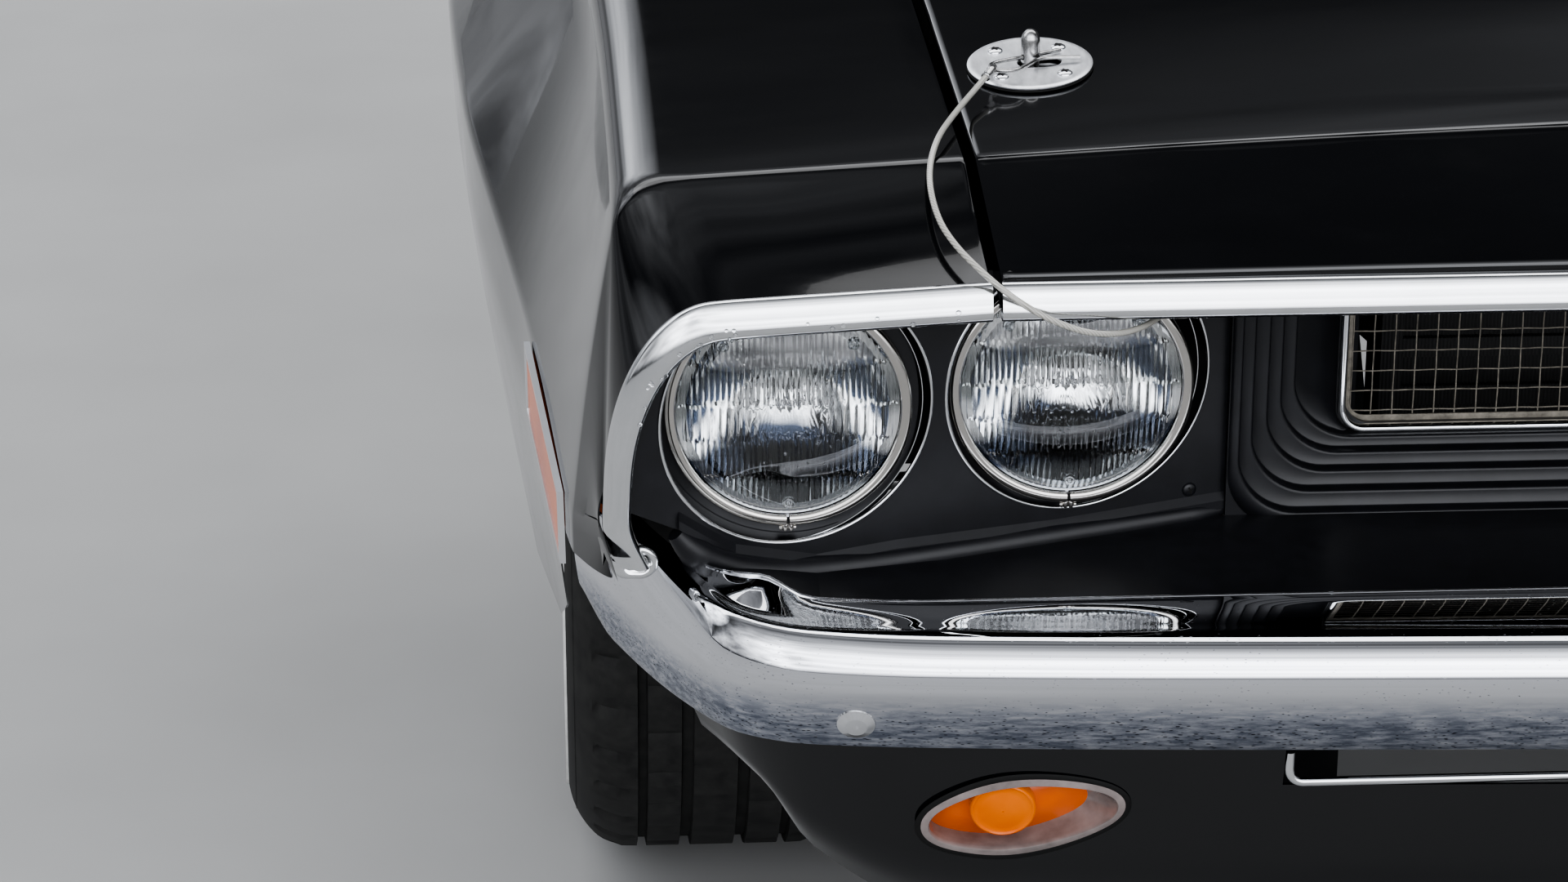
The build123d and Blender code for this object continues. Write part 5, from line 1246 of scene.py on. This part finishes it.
def cradle(half, bottom, top, radius, y):
    """Points down one side, round the lower corners and up the other side."""
    points = [(-half, y, z) for z in np.linspace(top, bottom + radius, 5)]
    points += [(-half + radius - radius * math.cos(a), y, bottom + radius - radius * math.sin(a))
               for a in quarter_turn(13)[1:]]
    points += [(x, y, bottom) for x in np.linspace(-half + radius, 0, 7)[1:]]
    return np.array(points + [(-x, yy, z) for x, yy, z in points[-2::-1]])


def terraces():
    """A skin over the stepped cavity, with its edges rounded."""
    lift, round_r = 0.8, 1.7
    rings = []
    front = cavity_front()
    top = GRILLE_TOP - 1
    for number, (share, bottom) in enumerate(TERRACES):
        half = PANEL_IN_X - share * (PANEL_IN_X - GRILLE_HALF)
        y = front + number * TERRACE_STEP - lift
        if number == 0:
            rings.append(cradle(PANEL_IN_X - 1.0, bottom - 8.0, top, TERRACE_CORNER - 2, y))
        for a in quarter_turn(5):
            out = round_r * (1 - math.sin(a)) - lift
            back = round_r * (1 - math.cos(a))
            rings.append(cradle(half + out, bottom - out, top, TERRACE_CORNER, y + back))
        rings.append(cradle(half - lift, bottom + lift, top, TERRACE_CORNER, y + TERRACE_STEP - 1.2))
        rings.append(cradle(half - lift - 1.0, bottom + lift + 1.0, top, TERRACE_CORNER, y + TERRACE_STEP))
    rings.append(cradle(GRILLE_HALF + 1.0, GRILLE_BOTTOM - 0.6, top, GRILLE_CORNER, grille_y() - lift))
    rings = np.array(rings)
    skin = add_mesh("grille_terraces", rings.reshape(-1, 3), grid_faces(*rings.shape[:2]), SATIN, "root",
                    "satin_black", 60, False)
    thicken(skin, -TERRACE_T)


def surround():
    """The bright band round the mesh."""
    front = grille_y() - FIT - 6
    top = GRILLE_TOP - 4
    rings = []
    for inset, back in SURROUND:
        rings.append(cradle(GRILLE_HALF - inset, GRILLE_BOTTOM + inset, top - inset, GRILLE_CORNER - inset,
                            front + back))
    # Each ring's ends join along the top, so the band is a closed loop
    rings = np.array(rings).transpose(1, 0, 2)
    band = Shape().tube(rings, loop=True).piece("grille_bright_surround", TRIM, "root", "bright_trim", 50)
    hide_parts("grille_surround")


def mesh():
    """Woven wires in a flat frame behind the surround."""
    back = grille_y() + 4 + FIT
    half, low, top = GRILLE_HALF - 1, GRILLE_BOTTOM + 1, GRILLE_TOP - 9
    middle = back + 2.2
    shape = Shape()
    inset = 7.0
    columns = int((half - inset) // MESH_PITCH)
    levels = int((top - low - 2 * inset) // MESH_PITCH)
    base = low + (top - low - levels * MESH_PITCH) / 2
    weave = 0.45 * MESH_WIRE
    for number in range(-columns, columns + 1):
        zs = np.linspace(low + 3, top - 3, 6 * levels)
        ys = middle + weave * np.cos(math.pi * ((zs - base) / MESH_PITCH + number))
        bar(shape, [(number * MESH_PITCH, y, z) for y, z in zip(ys, zs)], MESH_WIRE / 2, 6)
    for level in range(levels + 1):
        xs = np.linspace(-half + 3, half - 3, 8 * columns)
        ys = middle - weave * np.cos(math.pi * (level + xs / MESH_PITCH))
        bar(shape, [(x, y, base + level * MESH_PITCH) for x, y in zip(xs, ys)], MESH_WIRE / 2, 6)
    wide, front = MESH_FRAME_W, back + MESH_FRAME_T
    loops = []
    for inset, y in ((0.0, back), (wide, back), (wide, front), (0.0, front)):
        loops.append(cradle(half - inset, low + inset, top - inset, GRILLE_CORNER - inset, y))
    shape.tube(np.array(loops).transpose(1, 0, 2), loop=True)
    wires = shape.piece("grille_woven_mesh", WIRE, "root", "mesh_metal", 50)
    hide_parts("grille_mesh")


# Small fasteners

SCREW_TURN = 24.0
# A screw's domed head: height and radius as shares of its radius
SCREW_HEAD = ((0.0, 0.02), (0.0, 1.0), (0.12, 1.0), (0.3, 0.8), (0.42, 0.45), (0.44, 0.02))


def screw(heads, painted_recess_shades, at, normal, radius):
    """A low domed head with a cross recess, which is a second, darker piece: a near-black cross just proud of
    the head, painted shade where the recess's hollow would be.
    """
    along, side, other = axes_of(normal)
    turned(heads, [(radius * up, radius * out) for up, out in SCREW_HEAD], at, normal, 24)
    at = np.asarray(at, float)
    turn = math.radians(SCREW_TURN)
    u = side * math.cos(turn) + other * math.sin(turn)
    v = other * math.cos(turn) - side * math.sin(turn)
    long, wide = radius * 0.5, radius * 0.13
    corners = [(long, wide), (wide, wide), (wide, long), (-wide, long), (-wide, wide), (-long, wide)]
    corners += [(-a, -b) for a, b in corners]
    rings = []
    for height in (radius * 0.3, radius * 0.46):
        rings.append([at + u * a + v * b + along * height for a, b in corners])
    # Painted shade: a thin near-black cross in place of the recess's shadowed hollow.
    painted_recess_shades.tube(rings)


def screws(name, places, body, mat, slot):
    """Screws at places of (point, normal, radius) and at their mirror images."""
    heads, painted_recess_shades = Shape(), Shape()
    for at, normal, radius in places:
        screw(heads, painted_recess_shades, at, normal, radius)
        screw(heads, painted_recess_shades, (-at[0], *at[1:]), (-normal[0], *normal[1:]), radius)
    heads.piece(name, mat, body, slot, 50)
    # Near-black rubber on the recess crosses: painted shade.
    painted_recess_shades.piece(name + "_recesses", BLACK_RUBBER_AND_RECESS_SHADE, body, slot, 30)


# Hood pins

PIN_X, PIN_Y, PIN_R = 565.0, -655.0, 6.0
PIN_ABOVE, PLATE_T = 25.0, 2.0
PLATE_LIFT = 0.6          # the seal's foot above the hood's top
KEYHOLE_R, KEYHOLE_REACH = 8.5, 12.0
SCREW_CIRCLE, SCREW_LIFT, SCREW_HEAD_R = 29.0, 3.3, 5.2
# Turned sections, along the line and radius
SEAL = ((0.0, 30.0), (0.0, 40.3), (0.7, 41.0), (1.5, 40.6), (1.6, 39.0), (1.6, 30.0))
PLATE_PROFILE = ((1.5, 4.0), (1.5, 39.5), (2.0, 40.4), (2.9, 40.6), (3.5, 39.9), (3.9, 38.2), (3.8, 36.6),
                 (3.4, 30.0), (3.1, 12.0), (3.1, 4.0))
CLIP_TURN, CLIP_DROP, CLIP_WIRE = 30.0, 18.0, 2.8
# The clip's line from the post's axis, along its straight leg and across
CLIP = ((-24, 0), (-8, 0), (10, 0), (25, 0), (33, -2.5), (37, -10.5), (33, -18), (25, -20), (16, -16.5),
        (8, -12.5), (0, -9.3), (-8, -10.5), (-15, -13.8), (-20, -17), (-25, -20))
SHELF_Z = 786.3           # the shelf under the hood that the pins stand on
PIN_Z = hood_height(PIN_X, PIN_Y)
PIN_TOP = PIN_Z + PLATE_T + PIN_ABOVE - 0.8


def hood_normal(x, y):
    """A line square to the hood's top, not of unit length."""
    lean = (hood_height(x + 20, y) - hood_height(x - 20, y)) / 40
    rise = (hood_height(x, y + 20) - hood_height(x, y - 20)) / 40
    return np.array((-lean, -rise, 1.0))


def hood_pin_plates():
    """Plate with a keyhole, its seal and its screws."""
    normal = hood_normal(PIN_X, PIN_Y)
    normal /= np.linalg.norm(normal)
    base = np.array((PIN_X, PIN_Y, PIN_Z + PLATE_LIFT))
    seal = turned(Shape(), SEAL, base, normal, 72)
    seal.mirrored().piece("hood_pin_seals", BLACK_RUBBER_AND_RECESS_SHADE, "hood", "chrome", 40)
    plate = turned(Shape(), PLATE_PROFILE, base, normal, 96)
    plate = plate.piece("hood_pin_plate_left", PLATE, "hood", "chrome", 40)
    hole = []
    for a in around(48):
        reach = KEYHOLE_REACH if math.cos(a) < 0 else 0.0
        hole.append((PIN_X + KEYHOLE_R * math.cos(a) - reach, PIN_Y + KEYHOLE_R * math.sin(a)))
    tool = Shape().tube([[(x, y, z) for x, y in hole] for z in (PIN_Z - 15, PIN_Z + 25)])
    cut(plate, [tool], 40)
    mirror_copy(plate, "hood_pin_plate_right")
    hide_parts("hood_pin_plates")
    _, side, other = axes_of(normal)
    places = []
    for a in np.radians((45, 135, 225, 315)):
        out = side * math.cos(a) + other * math.sin(a)
        places.append((tuple(base + normal * SCREW_LIFT + out * SCREW_CIRCLE), tuple(normal), SCREW_HEAD_R))
    screws("hood_pin_plate_screws", places, "hood", CHROME, "chrome")


def hood_pins():
    """Post with a bullet head, a thread, a cross hole for its clip and a nut below."""
    thread = []
    for z in np.arange(9.5, PIN_TOP - SHELF_Z - 24.0, 0.75):
        thread.append((z, PIN_R - (0.55 if len(thread) % 2 else 0.0)))
    head = PIN_TOP - SHELF_Z
    profile = [(0.0, 0.3), (0.0, 12.0), (0.8, 12.0), (8.2, 12.0), (9.0, 11.0), (9.0, PIN_R)] + thread
    profile += [(head - 23.0, PIN_R - 0.2), (head - 22.0, PIN_R + 0.2), (head - 8.0, PIN_R + 0.2)]
    for a in np.linspace(0.15, math.pi / 2, 9):
        profile.append((head - 8.0 + 8.0 * math.sin(a), 0.3 + (PIN_R - 0.1) * math.cos(a)))
    post = turned(Shape(), profile, (PIN_X, PIN_Y, SHELF_Z), (0, 0, 1), 40)
    post = post.piece("hood_pin_left", STEEL, "root", "steel", 35)
    turn = math.radians(CLIP_TURN)
    across = np.array((math.cos(turn), -math.sin(turn), 0.0))
    level = np.array((PIN_X, PIN_Y, PIN_TOP - CLIP_DROP))
    tool = bar(Shape(), [level - across * 20, level + across * 20], CLIP_WIRE / 2 + 0.5, 24)
    cut(post, [tool], 35)
    mirror_copy(post, "hood_pin_right")
    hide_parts("hood_pins")


def hood_pin_clips():
    """Hairpin clips: a straight leg through the post, a round bend and a waved leg that grips the post."""
    turn = math.radians(CLIP_TURN)
    z = PIN_TOP - CLIP_DROP
    path = []
    for a, b in CLIP:
        path.append((PIN_X + a * math.cos(turn) + b * math.sin(turn),
                     PIN_Y - (a * math.sin(turn) - b * math.cos(turn)), z))
    shape = bar(Shape(), smooth_path(path, 1.6), CLIP_WIRE / 2, 12)
    clips = shape.mirrored().piece("hood_pin_hairpins", STEEL, "root", "steel", 60)
    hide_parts("hood_pin_clips")


# Lanyards, right side: x, y, z from the clip's bend to the lamp panel

LANYARD = (
    (-592.2, -683.4, 860.9), (-605.0, -706.0, 855.0), (-621.0, -738.0, 849.5), (-636.0, -773.0, 843.5),
    (-643.5, -804.0, 830.0), (-639.5, -827.5, 811.0), (-629.5, -844.0, 798.5), (-615.0, -860.5, 787.5),
    (-598.0, -873.0, 775.5), (-577.0, -874.5, 762.0), (-554.0, -871.0, 751.0), (-533.0, -863.5, 746.0),
    (-514.0, -849.0, 744.5), (-498.0, -828.0, 745.5), (-485.0, -802.0, 746.5), (-476.0, -774.0, 747.0),
    (-483.0, -743.1, 747.0),
)
LANYARD_D, LANYARD_LENGTH = 4.0, 450.0
# The crimped sleeve: distance along the cable, radius
CRIMP = ((-3, 1.5), (0, 2.5), (1.2, 3.1), (4, 3.1), (5.2, 2.6), (8, 3.1), (9.2, 2.6), (12, 3.1), (12.6, 2.5))


def lanyard(side, name, node):
    """The free cable from a clip to the lamp panel."""
    curve = bpy.data.curves.new(name, "CURVE")
    curve.dimensions = "3D"
    spline = curve.splines.new("NURBS")
    spline.points.add(len(LANYARD) - 1)
    route = [tuple(p) for p in to_row([(-side * x, y, z) for x, y, z in LANYARD])]
    for point, place in zip(spline.points, route):
        point.co = (*place, 1.0)
    spline.order_u = 3
    spline.use_endpoint_u = True
    spline.resolution_u = 10
    curve.bevel_depth = LANYARD_D / 2000.0
    curve.bevel_resolution = 4
    curve.use_fill_caps = True
    piece = link_object(name, curve)
    curve.materials.append(CABLE)
    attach(piece, "root")
    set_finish(piece, "coated_cable")
    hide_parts(node)


def lanyard_ends():
    """The crimped sleeve at the clip."""
    route = np.array([(-x, y, z) for x, y, z in LANYARD])
    first = route[1] - route[0]
    first /= np.linalg.norm(first)
    start = route[0] - first * 1.0
    shape = bar(Shape(), [start + first * along for along, _ in CRIMP], [radius for _, radius in CRIMP], 14)
    shape.mirrored().piece("lanyard_crimps", STEEL, "root", "steel", 50)


# Tyres

TRACK, TYRE_R, TYRE_W, RIM_R, RIM_W = 1516.0, 335.0, 235.0, 190.5, 178.0
TREAD_COUNT, TREAD_STEP = 252, 6   # steps round the tyre, and steps from one slot to the next
GROOVES = ((57.0, 4.0), (22.0, 5.0))   # middle and half width of each groove round the tyre
GROOVE_DEEP, SHOULDER_SLOT, RIB_SLOT = 7.0, 5.0, 4.0
# The white line's section: from the tyre's side plane, from the rim's radius
WHITE_LINE = ((-3.0, 84), (-0.2, 84.6), (-0.3, 92), (-3.4, 93))


def tyre(side, name, node, body):
    """Carcass with a ribbed tread, slots across the ribs and lines moulded in the sidewall."""
    half, r, rim = TYRE_W / 2, TYRE_R, RIM_R
    flat = RIM_W / 2 - 8
    wall = smooth_path([(flat, rim + 13.5), (half - 8, rim + 34), (half - 0.6, rim + 72),
                        (half - 7, r - 34), (half - 25, r - 9), (half - 44, r - 0.4)], 5.0)
    right = [(flat, rim), *wall]
    for at, wide in GROOVES:
        floor = [(at + wide - 1.2, r - GROOVE_DEEP), (at - wide + 1.2, r - GROOVE_DEEP)]
        right += [(at + wide, r), *floor, (at - wide, r)]
    profile = np.array([(-a, b) for a, b in right] + right[::-1])
    shoulder = np.array([SHOULDER_SLOT if b > r - 12 and 62 < abs(a) < 100 else 0.0 for a, b in profile])
    rib = np.array([RIB_SLOT if b > r - 1 and 26 < abs(a) < 54 else 0.0 for a, b in profile])
    middle = np.array((side * TRACK / 2, 0.0, TYRE_R))
    rings = []
    for number in range(TREAD_COUNT):
        a = 2 * math.pi * number / TREAD_COUNT
        out = np.array((0.0, math.cos(a), math.sin(a)))
        phase = number % TREAD_STEP
        drop = shoulder * (phase == 0) + rib * (phase == TREAD_STEP // 2)
        rings.append([middle + (side * across, 0.0, 0.0) + out * (radius - d)
                      for (across, radius), d in zip(profile, drop)])
    shape = Shape().tube(rings, loop=True)
    # Two fine lines near the bead and one at the shoulder
    for across, radius in ((half - 5.2, rim + 44), (half - 2.6, rim + 54), (half - 8.0, r - 32)):
        for face in (-side, side):
            low, high = face * (across - 1.0), face * (across + 0.5)
            line = [(low, radius - 0.8), (high, radius - 0.4), (high, radius + 0.4), (low, radius + 0.8)]
            turned(shape, line, middle, (1, 0, 0), 96)
    piece = shape.piece(name, RUBBER, body, "tyre", 40)
    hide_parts(node)
    ring = turned(Shape(), [(side * (half + a), rim + b) for a, b in WHITE_LINE], middle, (1, 0, 0), 144)
    ring.piece(name + "_white_line", WHITE, body, "tyre", 40)


# Water

DROPS = (10, 46)          # on the outer and on the inner lamp
MOULDING_DROPS = 24
DOME_BALL = 158.0         # radius of the glass's dome, about
# A drop's section: height and radius as shares of its radius, above a foot that is let in
DROP = ((0.0, 1.0), (0.35, 0.86), (0.6, 0.5))


def droplets():
    """Water drops left on the inner lamps' glass and along the mouldings."""
    rng = random.Random(7)
    shape = Shape()

    def drop(at, normal, radius):
        skin = [(radius * up, radius * out) for up, out in DROP]
        turned(shape, [(-0.2, 0.05), *skin, (radius * 0.68, 0.05)], at, normal, 12)

    for (x, face), count in zip(LAMPS, DROPS):
        for _ in range(count):
            u = rng.uniform(-30, 26)
            v = rng.uniform(-36, -6)
            r = math.hypot(u, v)
            depth = dome_depth(r, LENS_BULGE, LENS_GLASS_R - FIT)
            normal = (u / DOME_BALL, -1.0, v / DOME_BALL)
            drop((x + u, face + LENS_SET - depth, LAMP_Z + v), normal, rng.uniform(0.5, 1.25))
    outer, inner = fender_moulding_lines()
    for _ in range(MOULDING_DROPS):
        k = rng.randrange(2, 52)
        share = rng.uniform(0.62, 0.9)
        x, z = between(outer[k], inner[k], share)
        depth = np.interp(share, [s for s, _ in STRIP], [d for _, d in STRIP])
        drop((x, nose_y(z) - FIT - MOULD_D * depth + 0.1, z), (0.0, -1.0, -0.1), rng.uniform(0.8, 1.9))
    shape.mirrored().piece("water_drops", WATER, "root", "clear_glass", 60)


# All pieces

hood_skin()
fender_skin()
tab = mouldings()
bumper_shell()
valance_skin()
intake_trim()
turn_signals()
lamp_lenses()
lamp_rings()
lamp_bulbs()
panel_lips()
panel_ridge()
terraces()
surround()
mesh()
hood_pin_plates()
hood_pins()
hood_pin_clips()
lanyard(1, "lanyard_cable_left", "lanyard_left")
lanyard(-1, "lanyard_cable_right", "lanyard_right")
lanyard_ends()
tyre(1, "tyre_body_left", "tyre_left", "wheel_left")
tyre(-1, "tyre_body_right", "tyre_right", "wheel_right")
screws("moulding_screws", [(tab, (0.0, -1.0, 0.0), TAB_SCREW_R)], "root", STEEL, "steel")
panel_screw = ((PANEL_SCREW_X, panel_y(PANEL_SCREW_X) - 0.1, PANEL_SCREW_Z),
               (-PANEL_SLOPE, -1.0, 0.0), PANEL_SCREW_R)
screws("panel_screws", [panel_screw], "root", SATIN, "satin_black")
droplets()


# Stage, light and camera, in metres

FLOOR_REACH = 30.0
# A soft bright sky ahead, a dark gap, a dimmer one overhead and dark behind. Columns: degrees, brightness
SKY = (
    (0.0, 0.25), (2.0, 1.2), (6.0, 3.5), (36.0, 4.0), (45.0, 2.3), (56.0, 1.2), (68.0, 0.5), (80.0, 0.15),
    (90.0, 0.3), (98.0, 2.0), (120.0, 1.9), (132.0, 0.4), (145.0, 0.2), (156.0, 0.04), (164.0, 0.05),
    (172.0, 0.28), (180.0, 0.3),
)
SKY_TINT = (0.97, 0.99, 1.04)
# Soft bright patches. Columns: direction, inner and outer radius in degrees, brightness
CLOUDS = (
    ((-0.78, 0.2, 0.55), 8.0, 24.0, 2.2),
    ((-0.34, 0.85, 0.42), 4.0, 17.0, 2.2),
    ((-0.8, 0.56, 0.15), 12.0, 38.0, 0.5),
)
CLOUD_TINT = (0.96, 0.99, 1.05, 1.0)
BACKDROP = (0.44, 0.45, 0.455, 1.0)
LIGHT_AT, LIGHT_TO = (0.0, 0.6, 6.0), (0.0, 0.6, 0.0)
LIGHT_WIDE, LIGHT_LONG, LIGHT_POWER = 12.0, 4.0, 260
# The camera solved from the photo, its angles in degrees
CAMERA_AT = (-0.863, -3.947, 1.069)
PITCH_DOWN, YAW_LEFT = 22.0, 3.0   # left is the car's own
SENSOR, FOCAL = 36.0, 98.7


def pale_floor():
    road = -MOUNT_Z / 1000.0
    corners = [(x * FLOOR_REACH, y * FLOOR_REACH, road) for x, y in ((-1, -1), (1, -1), (1, 1), (-1, 1))]
    plane = bpy.data.meshes.new("floor")
    plane.from_pydata(corners, [], [(0, 1, 2, 3)])
    tones = blend((0.29, 0.29, 0.285), (0.32, 0.32, 0.315))
    plane.materials.append(grained("pale_floor", (3, 3), tones, 0.9))
    floor = link_object("floor", plane)


def background(tree, colour, strength=1.0):
    return add_node(tree, "Background", "Background", {"Color": colour, "Strength": strength})


def with_clouds(tree, shader, direction, patchy):
    """The sky's shader with its soft bright patches added."""
    for centre, inner, outer, brightness in CLOUDS:
        near = add_node(tree, "VectorMath", "Value", {0: direction, 1: Vector(centre).normalized()},
                        operation="DOT_PRODUCT")
        edge = spread(tree, near, 0.0, brightness, [math.cos(math.radians(a)) for a in (outer, inner)])
        glow = background(tree, CLOUD_TINT, combine(tree, "MULTIPLY", edge, patchy))
        shader = add_node(tree, "AddShader", "Shader", {0: shader, 1: glow})
    return shader


def studio_sky():
    """A graded sky that the paint and chrome mirror, with a plain pale backdrop for the camera itself."""
    world = bpy.data.worlds.new("studio")
    bpy.context.scene.world = world
    world.use_nodes = True
    tree = world.node_tree
    tree.nodes.remove(tree.nodes["Background"])
    direction = add_node(tree, "TexCoord", "Generated", {})
    x, y, z = (add_node(tree, "SeparateXYZ", axis, {"Vector": direction}) for axis in "XYZ")
    # Angle from straight ahead of the car, up and over to behind it, as a share of half a turn
    climb = combine(tree, "ARCTAN2", z, combine(tree, "MULTIPLY", y, -1.0))
    tones = colours(tree, combine(tree, "DIVIDE", climb, math.pi),
                    [(angle / 180.0, scaled(brightness, SKY_TINT)) for angle, brightness in SKY])
    stretched = add_node(tree, "VectorMath", "Vector", {0: direction, 1: (0.9, 3.2, 3.2)},
                         operation="MULTIPLY")
    haze = add_node(tree, "TexNoise", "Fac", {"Vector": stretched, "Scale": 2.0, "Detail": 4.0})
    patchy = spread(tree, haze, 0.45, 1.5, (0.32, 0.68))
    sideways = spread(tree, combine(tree, "ABSOLUTE", x, 0.0), 1.0, 0.2, (0.5, 0.85))
    shader = background(tree, tones, combine(tree, "MULTIPLY", patchy, sideways))
    shader = with_clouds(tree, shader, direction, patchy)
    seen = add_node(tree, "LightPath", "Is Camera Ray", {})
    either = add_node(tree, "MixShader", "Shader", {"Fac": seen, 1: shader, 2: background(tree, BACKDROP)})
    put(tree, either, tree.nodes["World Output"].inputs["Surface"])


def overhead_light():
    """A broad soft light that the camera doesn't see."""
    light = bpy.data.lights.new("overhead", "AREA")
    light.shape = "RECTANGLE"
    light.size = LIGHT_WIDE
    light.size_y = LIGHT_LONG
    light.energy = LIGHT_POWER
    lamp = link_object("overhead", light)
    lamp.location = LIGHT_AT
    lamp.rotation_euler = (Vector(LIGHT_TO) - Vector(LIGHT_AT)).to_track_quat("-Z", "Y").to_euler()
    lamp.visible_camera = False


def photo_camera():
    lens_data = bpy.data.cameras.new("camera")
    lens_data.sensor_width = SENSOR
    lens_data.lens = FOCAL
    camera = link_object("camera", lens_data)
    camera.location = CAMERA_AT
    pitch, yaw = math.radians(PITCH_DOWN), math.radians(YAW_LEFT)
    look = Vector((math.sin(yaw) * math.cos(pitch), math.cos(yaw) * math.cos(pitch), -math.sin(pitch)))
    camera.rotation_euler = look.to_track_quat("-Z", "Y").to_euler()
    bpy.context.scene.camera = camera


pale_floor()
studio_sky()
overhead_light()
photo_camera()
bpy.context.scene.view_settings.view_transform = "AgX"
bpy.context.scene.view_settings.look = "AgX - Medium High Contrast"
